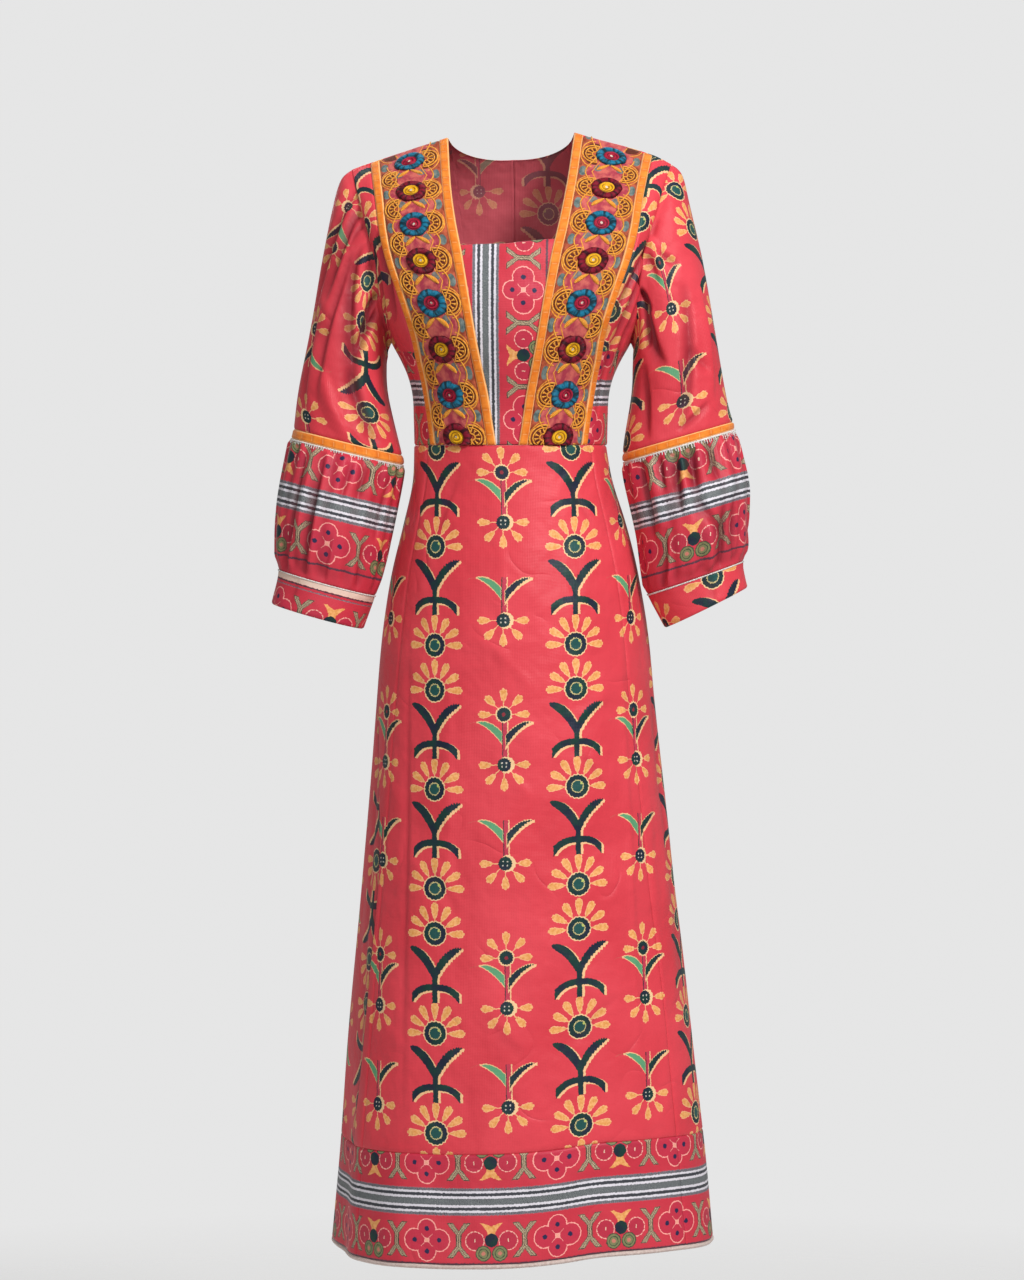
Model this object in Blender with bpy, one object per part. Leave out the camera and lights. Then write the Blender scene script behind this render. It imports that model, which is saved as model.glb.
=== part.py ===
"""Midi dress of printed cotton satin, worn and hollow: a fitted bodice with two embroidered bands, an inset
centre panel, three-quarter sleeves gathered into cuffs, and an A-line skirt with a printed border.

The frame has +Z up, the front of the dress faces -Y and +X is to the viewer's right of the front.
The origin lies between the shoulders, level with the neck ends of the shoulder seams.
Every cloth piece is a closed wall, worked out from sections of the garment.
"""

import math

import bpy
import numpy as np

MM = 0.001

# Cloth, in millimetres.
WALL = 1.5
BAND_WALL = 2.2
SEAM_GAP = 0.3
BINDING_HEIGHT = 5.0

# Heights below the neck ends of the shoulder seams, in millimetres.
WAIST_Z = -358.0
BORDER_SEAM_Z = -1145.5
HEM_Z = -1273.0

# Lanes of the bodice run from the waist (0) to the shoulder seam (1).
UNDERARM_LANE = 0.34
INSET_TOP_LANE = 0.647
INSET_TOP_SLANT = 0.02
BACK_NECK_DROP = 0.125
NECK_ANGLE = 23.2
LANE_GAP = 0.0004

# The embroidered bands.
TRIM_SHARE = 0.117
ROSE_LANES = [0.026, 0.166, 0.320, 0.467, 0.601, 0.722, 0.844, 0.951]
ROSE_RADIUS = 14.0
ROSE_HEIGHT = 3.2
ROWS_PER_ROSE = 4

# The skirt's four panels meet at these angles from the front.
SIDE_SEAM = 57.0
BACK_SEAM = 122.0

# Bodice front: the edge is the side seam, then the armhole, and the middle is the front's centre.
FRONT = {
    "lane": [0.00, 0.08, 0.17, 0.23, 0.28, 0.34, 0.42, 0.52, 0.62, 0.72, 0.82, 0.91, 1.00],
    "edge_x": [110, 110.5, 112, 117, 125, 137, 143, 148, 153, 160, 169, 177, 184],
    "edge_y": [-8, -8, -8, -8, -8, -8, -40, -58, -62, -56, -42, -22, 0],
    "edge_z": [-358, -330, -300, -280, -262, -240, -216, -184, -150, -118, -86, -59, -39],
    "mid_y": [-104, -106, -112, -118, -124, -130, -133, -131, -122, -104, -77, -45, 0],
    "mid_z": [-358, -330, -300, -281, -264, -244, -214, -178, -140, -104, -68, -34, 25],
    "droop": [2.0, 2.0, 2.0, 2.0, 2.0, 2.0, 2.0, 2.0, 2.0, 2.0, 1.7, 1.3, 1.0],
}

# Bodice back: it shares the front's lanes, and its side and shoulder edges.
BACK = {
    "lane": FRONT["lane"],
    "edge_x": FRONT["edge_x"],
    "edge_y": [-8, -8, -8, -8, -8, -8, 22, 40, 46, 44, 34, 19, 0],
    "edge_z": FRONT["edge_z"],
    "mid_y": [88, 88, 90, 92, 94, 96, 98, 98, 95, 88, 74, 46, 0],
    "mid_z": [-358, -330, -300, -280, -262, -240, -210, -172, -132, -92, -52, -12, 25],
    "droop": FRONT["droop"],
}

# How much the worn shoulders differ: a rise across the shoulder line, which fades down the bodice.
SHOULDER = {
    "x": [-184, -160, -116, -72, 0, 72, 102, 135, 161, 184],
    "rise": [-3.8, -3.8, -3.8, -5.2, -2.6, 0, 1.6, 4.1, 4.9, 1.5],
}

# Half widths at which the bands' inner and outer edges lie, up the bodice.
BAND = {
    "lane": FRONT["lane"],
    "inner_x": [12.5, 17.0, 21.6, 25.5, 29, 33, 38, 44, 50.5, 58, 64, 68, 72.5],
    "outer_x": [89.5, 93, 97.5, 101, 105, 109, 116, 127, 139, 147, 152, 157, 162],
}

# Skirt rings: half width, depth in front and behind, and how far the ring hangs to the viewer's right.
SKIRT = {
    "z": [-358, -400, -450, -500, -560, -660, -800, -950, -1110, -1273],
    "half_width": [110, 114.5, 127.5, 140, 149.5, 159.5, 173.5, 190, 206, 220.5],
    "front": [96, 102, 112, 121, 130, 141, 152, 164, 176, 186],
    "back": [96, 106, 122, 134, 142, 150, 160, 172, 184, 194],
    "swing": [0, 2.5, 4, 4.5, 5, 6, 8, 10, 12.5, 15],
}
RING_Y = -8.0

# How much lower the border hangs, by the angle from the front in degrees.
HANG = {
    "angle": [-180, -150, -110, -70, -48, -32, -19, -1, 14, 24, 37, 55, 68, 110, 150, 180],
    "drop": [0, 3, 7, 10, 8.2, 6, 5, 2.2, -1.8, -6, -7.1, -6.6, -5.5, -4, -1.5, 0],
}

# Soft folds of the skirt: angle from the front, depth at the hem, half width of the fold, and where it starts.
FOLDS = {
    "angle": [-38, 20, -76, 66, 97, 124, 150, 176, -154, -128, -102],
    "depth": [9, -8, -9, 8, -8, 9, -8, 9, -9, 9, 7],
    "half_angle": [27, 30, 18, 20, 18, 18, 17, 17, 17, 17, 15],
    "start_z": [-720, -640, -640, -600, -560, -600, -520, -560, -520, -600, -640],
}

# Sleeve rings, each from its outer point to its inner point as the front shows them, with its depth.
SLEEVE_LEFT = {
    "outer_x": [184, 195.5, 204.5, 216, 229, 242.5, 248, 250.5, 255, 266, 268.5, 264.5, 272.5],
    "outer_z": [-39, -54, -88, -150, -225, -294, -339, -350, -366, -424, -472.6, -500, -539],
    "inner_x": [137, 139, 140.5, 141.5, 142.5, 140, 124.5, 123.5, 124, 135.5, 144.5, 154.5, 168],
    "inner_z": [-240, -245, -250, -257, -268, -303.6, -369, -380.6, -398, -459, -499, -530, -568],
    "half_depth": [50, 52, 55, 58, 60, 58, 56, 56, 62, 66, 60, 50, 47],
    "centre_y": [-8, -8, -8, -8, -9, -11, -14, -15, -17, -22, -26, -29, -32],
}
SLEEVE_RIGHT = {
    "outer_x": [184, 195.5, 204.5, 219.5, 233, 246, 253.5, 255, 263.5, 272.5, 271, 265.5, 270.5],
    "outer_z": [-39, -52, -87, -150, -225, -300, -331.4, -340, -367, -415, -467, -490, -520],
    "inner_x": [137, 139, 140.5, 140, 139.5, 138, 128.5, 129.5, 131, 143, 151, 157, 177],
    "inner_z": [-240, -245, -250, -257, -268, -301, -367, -377, -398, -455, -507, -528, -566],
    "half_depth": [50, 52, 55, 58, 60, 58, 56, 56, 62, 66, 60, 50, 47],
    "centre_y": [-8, -8, -8, -8, -9, -11, -14, -15, -17, -22, -26, -29, -32],
}
ARMHOLE_RING, TRIM_RING, GATHER_RING, CUFF_RING, LAST_RING = 0, 6, 7, 11, 12
ARMHOLE_FADES_BY = 4.0
ARMHOLE_GAP = 0.8
GATHER_WAVES = 16
GATHER_DEPTH = 2.2

# How finely the walls are divided.
SKIRT_ROWS = 9
SLEEVE_SIDES = 24
SLEEVE_ROWS = 8
GATHERED_SIDES = 64
DEGREES_PER_STRIP = 7.5


def clear_scene():
    for thing in list(bpy.data.objects):
        bpy.data.objects.remove(thing)


def along(table, key, name, at):
    """A smooth curve through one column of a table: cubic Hermite pieces whose slopes are the rows' averages."""
    knots = np.asarray(table[key], float)
    values = np.asarray(table[name], float)
    if knots[0] > knots[-1]:
        knots, values = knots[::-1], values[::-1]
    at = np.clip(np.asarray(at, float), knots[0], knots[-1])
    chords = np.diff(values) / np.diff(knots)
    slopes = np.concatenate([chords[:1], (chords[1:] + chords[:-1]) / 2, chords[-1:]])
    flat = np.concatenate([[False], chords[1:] * chords[:-1] <= 0, [False]])
    slopes[flat] = 0.0
    row = np.clip(np.searchsorted(knots, at, side="right") - 1, 0, len(knots) - 2)
    step = knots[row + 1] - knots[row]
    t = (at - knots[row]) / step
    return (
        (2 * t**3 - 3 * t**2 + 1) * values[row]
        + (t**3 - 2 * t**2 + t) * step * slopes[row]
        + (-2 * t**3 + 3 * t**2) * values[row + 1]
        + (t**3 - t**2) * step * slopes[row + 1]
    )


def bodice_sheet(table, angle, lane):
    """Front or back of the bodice: across, x and y follow an ellipse from the edge to the middle, and z droops."""
    sine, cosine = np.sin(angle), np.cos(angle)
    edge_y = along(table, "lane", "edge_y", lane)
    mid_y = along(table, "lane", "mid_y", lane)
    edge_z = along(table, "lane", "edge_z", lane)
    mid_z = along(table, "lane", "mid_z", lane)
    x = along(table, "lane", "edge_x", lane) * sine
    y = edge_y + (mid_y - edge_y) * cosine
    z = mid_z + (edge_z - mid_z) * np.abs(sine) ** along(table, "lane", "droop", lane)
    fade = np.clip(lane * 2 - 1, 0, 1) ** 2
    return np.stack([x, y, z + along(SHOULDER, "x", "rise", x) * fade], axis=-1)


def bodice(angle, path):
    """The bodice over the shoulder: path 0 to 1 climbs the front, and 1 to 2 goes down the back."""
    front = bodice_sheet(FRONT, angle, np.minimum(path, 1.0))
    back = bodice_sheet(BACK, angle, np.minimum(2.0 - path, 1.0))
    return np.where((path <= 1.0)[..., None], front, back)


def skirt(angle, z):
    """The skirt: an ellipse at each height, deeper behind, with folds and an uneven hang that grow to the hem."""
    half_width = along(SKIRT, "z", "half_width", z)
    front = along(SKIRT, "z", "front", z)
    back = along(SKIRT, "z", "back", z)
    swing = along(SKIRT, "z", "swing", z)
    out = np.zeros(np.broadcast(angle, z).shape)
    for at, depth, half, start in zip(FOLDS["angle"], FOLDS["depth"], FOLDS["half_angle"], FOLDS["start_z"]):
        away = (angle - math.radians(at) + math.pi) % (2 * math.pi) - math.pi
        share = np.clip(1 - np.abs(away) / math.radians(half), 0, 1)
        grown = np.clip((start - z) / (start - HEM_Z), 0, 1)
        out += depth * np.sin(share * math.pi / 2) ** 2 * grown**1.3
    depth = np.where(np.cos(angle) > 0, front, back)
    x = swing + (half_width + out) * np.sin(angle)
    y = RING_Y - (depth + out) * np.cos(angle)
    degrees = (np.degrees(angle) + 180) % 360 - 180
    hung = along(HANG, "angle", "drop", degrees) * np.clip((WAIST_Z - z) / (WAIST_Z - BORDER_SEAM_Z), 0, 1) ** 1.5
    return np.stack([x, y, z - hung], axis=-1)


def ring_ellipse(table, side, angle, ring):
    """One sleeve ring: an ellipse whose axes are its outer-to-inner line and its depth."""
    rows = dict(table, ring=list(range(LAST_RING + 1)))
    outer = np.stack([side * along(rows, "ring", "outer_x", ring), along(rows, "ring", "outer_z", ring)], axis=-1)
    inner = np.stack([side * along(rows, "ring", "inner_x", ring), along(rows, "ring", "inner_z", ring)], axis=-1)
    centre, half = (outer + inner) / 2, (outer - inner) / 2
    flat = centre + half * np.cos(angle)[..., None]
    y = along(rows, "ring", "centre_y", ring) - along(rows, "ring", "half_depth", ring) * np.sin(angle)
    return np.stack([flat[..., 0], y, flat[..., 1]], axis=-1)


def armhole(side, angle):
    """The armhole: angle 0 at the shoulder tip, a half turn down the front edge to the underarm, and back up behind."""
    share = np.abs((angle + math.pi) % (2 * math.pi) - math.pi) / math.pi
    lane = 1 - (1 - UNDERARM_LANE) * share
    edge = np.full_like(lane, side * math.pi / 2)
    front = bodice_sheet(FRONT, edge, lane)
    back = bodice_sheet(BACK, edge, lane)
    in_front = (angle % (2 * math.pi)) <= math.pi
    return np.where(in_front[..., None], front, back)


def sleeve(table, side, angle, ring):
    """A sleeve: its first rings have the armhole's shape and fade to ellipses, and its lower part is gathered."""
    points = ring_ellipse(table, side, angle, ring)
    first = ring_ellipse(table, side, angle, np.zeros_like(ring))
    fade = np.clip(1 - ring / ARMHOLE_FADES_BY, 0, 1) ** 2
    points = points + fade[..., None] * (armhole(side, angle) - first)
    out = np.array([side * 0.974, 0.0, -0.228])
    points = points + out * (WALL / 2 + ARMHOLE_GAP)
    full = np.clip((ring - GATHER_RING) / 0.6, 0, 1) * np.clip((CUFF_RING - ring) / 0.6, 0, 1)
    pulled = 0.45 + 0.55 * np.abs(ring - 9.2) / 2.0
    wave = GATHER_DEPTH * full * pulled * np.cos(GATHER_WAVES * angle)
    centre = ring_ellipse(table, side, np.zeros_like(angle), ring) / 2
    centre = centre + ring_ellipse(table, side, np.full_like(angle, math.pi), ring) / 2
    outward = points - centre
    return points + outward / np.linalg.norm(outward, axis=-1, keepdims=True) * wave[..., None]


def normals(surface, a, b, step_a, step_b, low_b=None, high_b=None):
    """Unit normals of a surface of two parameters, from central differences kept inside the second's limits."""
    b_low = b - step_b if low_b is None else np.maximum(b - step_b, low_b)
    b_high = b + step_b if high_b is None else np.minimum(b + step_b, high_b)
    across = surface(a + step_a, b) - surface(a - step_a, b)
    up = surface(a, b_high) - surface(a, b_low)
    found = np.cross(across, up)
    return found / np.linalg.norm(found, axis=-1, keepdims=True)


def wall(name, middle, outward, inside, outside, material, closed=False):
    """A cloth wall: a grid of points moved out and in along its normals, its two faces joined round the edge.

    middle and outward are grids of columns by rows, and inside and outside are distances in millimetres.
    """
    columns, rows = middle.shape[:2]
    inner = (middle + outward * np.broadcast_to(inside, (columns, rows))[..., None]).reshape(-1, 3)
    outer = (middle + outward * np.broadcast_to(outside, (columns, rows))[..., None]).reshape(-1, 3)
    index = np.arange(columns * rows).reshape(columns, rows)
    right = np.roll(index, -1, axis=0) if closed else index[1:]
    left = index if closed else index[:-1]
    quads = np.stack([left[:, :-1], right[:, :-1], right[:, 1:], left[:, 1:]], axis=-1).reshape(-1, 4)
    shift = columns * rows
    faces = [quads + shift, quads[:, ::-1]]
    for row, turned in ((0, True), (rows - 1, False)):
        low, high = left[:, row], right[:, row]
        rim = np.stack([low, low + shift, high + shift, high], axis=-1)
        faces.append(rim[:, ::-1] if turned else rim)
    if not closed:
        for column, turned in ((0, False), (columns - 1, True)):
            low, high = index[column, :-1], index[column, 1:]
            rim = np.stack([low, low + shift, high + shift, high], axis=-1)
            faces.append(rim[:, ::-1] if turned else rim)
    points = np.concatenate([inner, outer]) * MM
    mesh = bpy.data.meshes.new(name)
    mesh.from_pydata(points.tolist(), [], np.concatenate(faces).tolist())
    mesh.update()
    mesh.shade_smooth()
    mesh.set_sharp_from_angle(angle=math.radians(50))
    mesh.materials.append(material)
    piece = bpy.data.objects.new(name, mesh)
    bpy.context.scene.collection.objects.link(piece)
    return piece


def cloth_material(name, colour, roughness):
    """A woven cloth: one sRGB colour given as hex, dielectric and fairly rough."""
    material = bpy.data.materials.new(name)
    material.use_nodes = True
    shader = material.node_tree.nodes["Principled BSDF"]
    channels = [int(colour[i : i + 2], 16) / 255 for i in (0, 2, 4)]
    linear = [c / 12.92 if c <= 0.04045 else ((c + 0.055) / 1.055) ** 2.4 for c in channels]
    shader.inputs["Base Color"].default_value = (*linear, 1.0)
    shader.inputs["Roughness"].default_value = roughness
    shader.inputs["Metallic"].default_value = 0.0
    return material


def grid(first, second):
    return np.meshgrid(first, second, indexing="ij")


def band_lanes():
    """The lanes shared by the bands and the pieces beside them, with a row through each rose's middle."""
    last = len(ROSE_LANES) - 1
    rows = np.interp(np.linspace(0, last, last * ROWS_PER_ROSE + 1), np.arange(last + 1), ROSE_LANES)
    return np.concatenate([[LANE_GAP], rows, [(1 + rows[-1]) / 2, 1 - LANE_GAP]])


def bodice_wall(name, angle, path, inside, outside, material):
    """A piece of the bodice's front, on its grid of angles and paths."""
    outward = normals(bodice, angle, path, 0.004, 0.012, low_b=0.0, high_b=2.0)
    wall(name, bodice(angle, path), outward, inside, outside, material)


def band_angle(side, share, lane):
    """The angle at a share of the way across an embroidered band, from its inner edge to its outer edge."""
    edge = along(FRONT, "lane", "edge_x", lane)
    inner = along(BAND, "lane", "inner_x", lane) / edge
    outer = along(BAND, "lane", "outer_x", lane) / edge
    by_width = np.arcsin(inner + (outer - inner) * share)
    by_angle = np.arcsin(inner) + (np.arcsin(outer) - np.arcsin(inner)) * share
    return side * (by_width * lane + by_angle * (1 - lane))


def ordered(side, shares):
    """Shares from the viewer's left to right on either side, so that every grid turns the same way."""
    return shares if side > 0 else shares[::-1]


def embroidered_band(name, side, material):
    """The band between its two trims, with a row of thick roses raised from its outer face."""
    edge_gap = SEAM_GAP / 2 / 90
    shares = np.linspace(TRIM_SHARE + edge_gap, 1 - TRIM_SHARE - edge_gap, 9)
    share, lane = grid(ordered(side, shares), band_lanes())
    angle = band_angle(side, share, lane)
    middle = bodice(angle, lane)
    raised = np.zeros(lane.shape)
    for rose in ROSE_LANES:
        at = np.array([[rose]])
        centre = bodice(band_angle(side, np.array([[0.5]]), at), at)[0, 0]
        away = np.linalg.norm(middle - centre, axis=-1) / ROSE_RADIUS
        raised = np.maximum(raised, ROSE_HEIGHT * np.clip(1.15 - away**2, 0, 1))
    bodice_wall(name, angle, lane, -BAND_WALL / 2, BAND_WALL / 2 + raised, material)


def trim(name, side, low_share, high_share, material):
    """A ribbon along one edge of a band."""
    gap = SEAM_GAP / 2 / 90
    shares = np.array([low_share + gap, high_share - gap])
    share, lane = grid(ordered(side, shares), band_lanes())
    bodice_wall(name, band_angle(side, share, lane), lane, -BAND_WALL / 2, BAND_WALL / 2 + 0.3, material)


def side_front(name, side, material):
    """The printed panel from a band's outer edge to the side seam and the armhole."""
    shares = np.linspace(0, 1, 5)
    share, lane = grid(ordered(side, shares), band_lanes())
    start = np.abs(band_angle(side, np.ones_like(lane), lane)) + 0.0022
    angle = side * (start + (math.pi / 2 - 0.0016 - start) * share)
    bodice_wall(name, angle, lane, -WALL / 2, WALL / 2, material)


def inset_panel(name, material):
    """The straight-topped centre panel, tucked under the bands' inner edges."""
    tuck = 6.0 / 120
    under = -(BAND_WALL / 2 + WALL + 0.6)
    share, row = grid(np.linspace(-1, 1, 9), np.linspace(0, 1, 15))
    lane = LANE_GAP + (INSET_TOP_LANE + INSET_TOP_SLANT * np.clip(share, 0, 1) - LANE_GAP) * row
    reach = band_angle(1, np.zeros_like(lane), lane) + tuck
    bodice_wall(name, reach * share, lane, under, under + WALL, material)


def bodice_back(name, side, material):
    """Half of the back, from the centre seam to the side seam and up to the shoulder, with a round neckline."""
    neck = math.radians(NECK_ANGLE)
    seam = SEAM_GAP / 2 / 90
    beside = np.linspace(neck, math.pi / 2 - 0.0016, 7)
    away = np.concatenate([np.linspace(seam, neck, 4)[:-1], beside])
    angle, row = grid(side * ordered(side, away), np.linspace(0, 1, 14))
    scoop = np.sqrt(np.clip(1 - (angle / neck) ** 2, 0, 1))
    top = 1 - LANE_GAP - BACK_NECK_DROP * scoop
    lane = LANE_GAP + (top - LANE_GAP) * row
    outward = normals(bodice, angle, 2 - lane, 0.004, 0.012, low_b=0.0, high_b=2.0)
    middle = bodice(angle, 2 - lane)
    wall(name, middle[::-1], outward[::-1], -WALL / 2, WALL / 2, material)


def panel_columns(first, last):
    """A skirt panel's columns in degrees, half a seam's gap in from its two edges."""
    gap = math.degrees(SEAM_GAP / 2 / 150)
    return np.linspace(first + gap, last - gap, round((last - first) / DEGREES_PER_STRIP) + 1)


def skirt_wall(name, degrees, low, high, rows, inside, outside, material, closed=False):
    """A skirt piece on the given columns, between two heights."""
    angle, z = grid(np.radians(degrees), np.linspace(low, high, rows + 1))
    outward = normals(skirt, angle, z, 0.01, 2.0)
    wall(name, skirt(angle, z), outward, inside, outside, material, closed)


def seam_share(table, ring):
    """Half a seam's gap as a share of the step from one ring to the next, at the tighter side of the tube."""
    rows = dict(table, ring=list(range(LAST_RING + 1)))
    steps = []
    for point in ("outer", "inner"):
        near = [
            [along(rows, "ring", f"{point}_{axis}", ring + half) for half in (-0.05, 0.05)] for axis in ("x", "z")
        ]
        steps.append(math.hypot(near[0][1] - near[0][0], near[1][1] - near[1][0]) / 0.1)
    return SEAM_GAP / 2 / min(steps)


def sleeve_wall(name, table, side, first, last, rows, sides, inside, outside, material):
    """A tube of the sleeve between two rings, which runs clockwise on one side to keep its faces outward."""
    turn = np.linspace(0, 2 * math.pi, sides + 1)[:-1]
    angle, ring = grid(turn if side > 0 else turn[::-1], np.linspace(last, first, rows + 1))

    def surface(a, b):
        return sleeve(table, side, a, b)

    outward = -side * normals(surface, angle, ring, 0.02, 0.05, low_b=0.0, high_b=float(LAST_RING))
    wall(name, surface(angle, ring), outward, inside, outside, material, closed=True)


def make_bodice(print_cloth, embroidery, ribbon):
    inset_panel("inset_panel", print_cloth)
    for word, side in (("left", -1), ("right", 1)):
        embroidered_band(f"embroidered_band_{word}", side, embroidery)
        trim(f"neck_trim_{word}", side, 0.0, TRIM_SHARE, ribbon)
        trim(f"outer_trim_{word}", side, 1 - TRIM_SHARE, 1.0, ribbon)
        side_front(f"side_front_{word}", side, print_cloth)
        bodice_back(f"bodice_back_{word}", side, print_cloth)


def make_skirt(print_cloth, binding_cloth):
    panels = (
        ("front", -SIDE_SEAM, SIDE_SEAM),
        ("right", SIDE_SEAM, BACK_SEAM),
        ("back", BACK_SEAM, 360 - BACK_SEAM),
        ("left", 360 - BACK_SEAM, 360 - SIDE_SEAM),
    )
    top = WAIST_Z - SEAM_GAP
    border_top = BORDER_SEAM_Z - SEAM_GAP / 2
    binding_top = HEM_Z + BINDING_HEIGHT
    for word, first, last in panels:
        columns = panel_columns(first, last)
        skirt_wall(
            f"skirt_{word}", columns, BORDER_SEAM_Z + SEAM_GAP / 2, top, SKIRT_ROWS,
            -WALL / 2, WALL / 2, print_cloth,
        )
        skirt_wall(
            f"hem_border_{word}", columns, binding_top + SEAM_GAP, border_top, 2,
            -WALL / 2, WALL / 2, print_cloth,
        )
    all_round = np.concatenate([panel_columns(first, last)[:-1] for word, first, last in panels])
    skirt_wall("hem_binding", all_round, HEM_Z, binding_top, 1, -WALL / 2, WALL / 2, binding_cloth, closed=True)


def make_sleeves(print_cloth, ribbon):
    for word, side, table in (("left", -1, SLEEVE_LEFT), ("right", 1, SLEEVE_RIGHT)):
        over_trim, under_trim, at_cuff = [seam_share(table, ring) for ring in (TRIM_RING, GATHER_RING, CUFF_RING)]
        sleeve_wall(
            f"sleeve_{word}", table, side, ARMHOLE_RING, TRIM_RING - over_trim, SLEEVE_ROWS, SLEEVE_SIDES,
            -WALL / 2, WALL / 2, print_cloth,
        )
        sleeve_wall(
            f"sleeve_trim_{word}", table, side, TRIM_RING + over_trim, GATHER_RING - under_trim, 1, SLEEVE_SIDES,
            -WALL / 2, WALL / 2 + 0.3, ribbon,
        )
        sleeve_wall(
            f"sleeve_lower_{word}", table, side, GATHER_RING + under_trim, CUFF_RING - at_cuff, 5, GATHERED_SIDES,
            -WALL / 2, WALL / 2, print_cloth,
        )
        sleeve_wall(
            f"cuff_{word}", table, side, CUFF_RING + at_cuff, LAST_RING, 2, SLEEVE_SIDES,
            -WALL / 2, WALL / 2, print_cloth,
        )


def main():
    clear_scene()
    print_cloth = cloth_material("printed_cotton_satin", "CF4353", 0.55)
    embroidery = cloth_material("embroidered_net", "B0603A", 0.7)
    ribbon = cloth_material("orange_ribbon", "E8812E", 0.6)
    binding_cloth = cloth_material("cream_binding", "D9C8C0", 0.7)
    make_bodice(print_cloth, embroidery, ribbon)
    make_skirt(print_cloth, binding_cloth)
    make_sleeves(print_cloth, ribbon)


main()
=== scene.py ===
"""The midi dress for the eye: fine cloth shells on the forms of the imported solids, with block prints,
embroidered bands, ribbon, gathers and creases, before a plain pale backdrop.

Lengths are in millimetres unless a name says otherwise, and points become metres where a mesh is made.
The front faces -Y and +X is to the viewer's right of the front.
"""

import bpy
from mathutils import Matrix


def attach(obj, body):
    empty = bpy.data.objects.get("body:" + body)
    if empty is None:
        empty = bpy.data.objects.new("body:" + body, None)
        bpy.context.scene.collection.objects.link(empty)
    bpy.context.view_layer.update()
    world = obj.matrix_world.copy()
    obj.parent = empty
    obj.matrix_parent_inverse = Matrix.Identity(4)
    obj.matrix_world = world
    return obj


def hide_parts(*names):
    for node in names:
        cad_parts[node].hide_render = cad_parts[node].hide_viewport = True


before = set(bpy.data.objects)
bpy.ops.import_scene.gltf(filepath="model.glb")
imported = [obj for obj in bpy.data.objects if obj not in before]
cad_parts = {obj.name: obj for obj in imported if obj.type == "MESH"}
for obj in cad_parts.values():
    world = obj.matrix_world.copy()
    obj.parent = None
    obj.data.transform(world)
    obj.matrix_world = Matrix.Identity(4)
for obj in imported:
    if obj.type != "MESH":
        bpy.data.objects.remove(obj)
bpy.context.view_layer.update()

import ast
import math

import bpy
import numpy as np
from mathutils import Vector

MM = 0.001

# The name passed as the slot of all the printed cloth.
COTTON = "printed_cotton_satin"

# Cloth thicknesses. The hem binding and the sleeve ribbons are folded double.
CLOTH = 1.0
BAND_CLOTH = 2.0
FOLDED_CLOTH = 1.6

# A strip is cut at least this wide, in metres, because its edges are folded under.
LEAST_CUT = 0.010

# Cloth near a seam rolls under over this width, to this depth.
SEAM_ROLL = 2.4
SEAM_DIP = 0.7

# A fold this far in gets the darkest painted shade at its bottom, and one side of a crease is steeper
# than the other.
DEEP_FOLD = 7.0
STEEPER = 2.6

# Heights below the neck ends of the shoulder seams.
WAIST_Z = -358.0
BORDER_SEAM_Z = -1145.5
HEM_Z = -1273.0
BINDING_HEIGHT = 5.0

# Lanes of the bodice run from the waist (0) to the shoulder seam (1), where the back laps over the front by
# SHOULDER_LAP. Angles across it are in radians: the inset runs INSET_TUCK under the bands, and a side front
# starts BESIDE_BAND outside its band and stops SIDE_GAP short of the side seam, as the back does.
UNDERARM_LANE = 0.34
INSET_TOP_LANE = 0.647
INSET_TOP_SLANT = 0.02
BACK_NECK_DROP = 0.125
NECK_ANGLE = 23.2
SHOULDER_LAP = 0.004
INSET_TUCK = 0.05
INSET_SUNK = 2.6
BESIDE_BAND = 0.0022
SIDE_GAP = 0.0016

# The embroidered bands: the share of their width that each ribbon takes, and the lanes at which the roses'
# middles lie.
TRIM_SHARE = 0.117
ROSES = {
    "place": [-1, 0, 1, 2, 3, 4, 5, 6, 7, 8],
    "lane": [-0.114, 0.026, 0.166, 0.320, 0.467, 0.601, 0.722, 0.844, 0.951, 1.058],
}
ROSE_STEP = 44.0
BAND_END = 0.002
RIBBON_HALF = 5.25

# A rose: its radius, the ring's middle, half width and height, and the heart's radius and height. The heart's
# ridge winds inwards by RIDGE_TURN radians a millimetre, which is every 3.6. Roses are a little wider than
# high, and sink ROSE_SUNK into the band.
ROSE_RADIUS = 17.2
ROSE_RING = 12.6
ROSE_RING_HALF = 4.8
ROSE_HEIGHT = 3.8
HEART_RADIUS = 9.0
HEART_HEIGHT = 1.9
RIDGE_HEIGHT = 0.9
RIDGE_TURN = 1.745
ROSE_WIDER = 1.04
ROSE_LOWER = 0.94
ROSE_SUNK = 0.3
ROSE_TOP = 1.6

# The gold outlines: a fan's middle from the band's, how much wider than high fans are, and the scalloped
# line's mean place and swing. A cord's section has CORD_SIDES points.
FAN_PLACE = 18.2
FAN_WIDER = 1.05
SCALLOP_PLACE = 21.5
SCALLOP_SWING = 5.0
CORD_SIDES = 6

# The skirt's four panels meet at these angles from the front.
SIDE_SEAM = 57.0
BACK_SEAM = 122.0

# The garment's sections, as the solids have them.
FRONT = {
    "lane": [0.00, 0.08, 0.17, 0.23, 0.28, 0.34, 0.42, 0.52, 0.62, 0.72, 0.82, 0.91, 1.00],
    "edge_x": [110, 110.5, 112, 117, 125, 137, 143, 148, 153, 160, 169, 177, 184],
    "edge_y": [-8, -8, -8, -8, -8, -8, -40, -58, -62, -56, -42, -22, 0],
    "edge_z": [-358, -330, -300, -280, -262, -240, -216, -184, -150, -118, -86, -59, -39],
    "mid_y": [-104, -106, -112, -118, -124, -130, -133, -131, -122, -104, -77, -45, 0],
    "mid_z": [-358, -330, -300, -281, -264, -244, -214, -178, -140, -104, -68, -34, 25],
    "droop": [2.0, 2.0, 2.0, 2.0, 2.0, 2.0, 2.0, 2.0, 2.0, 2.0, 1.7, 1.3, 1.0],
}
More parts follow.
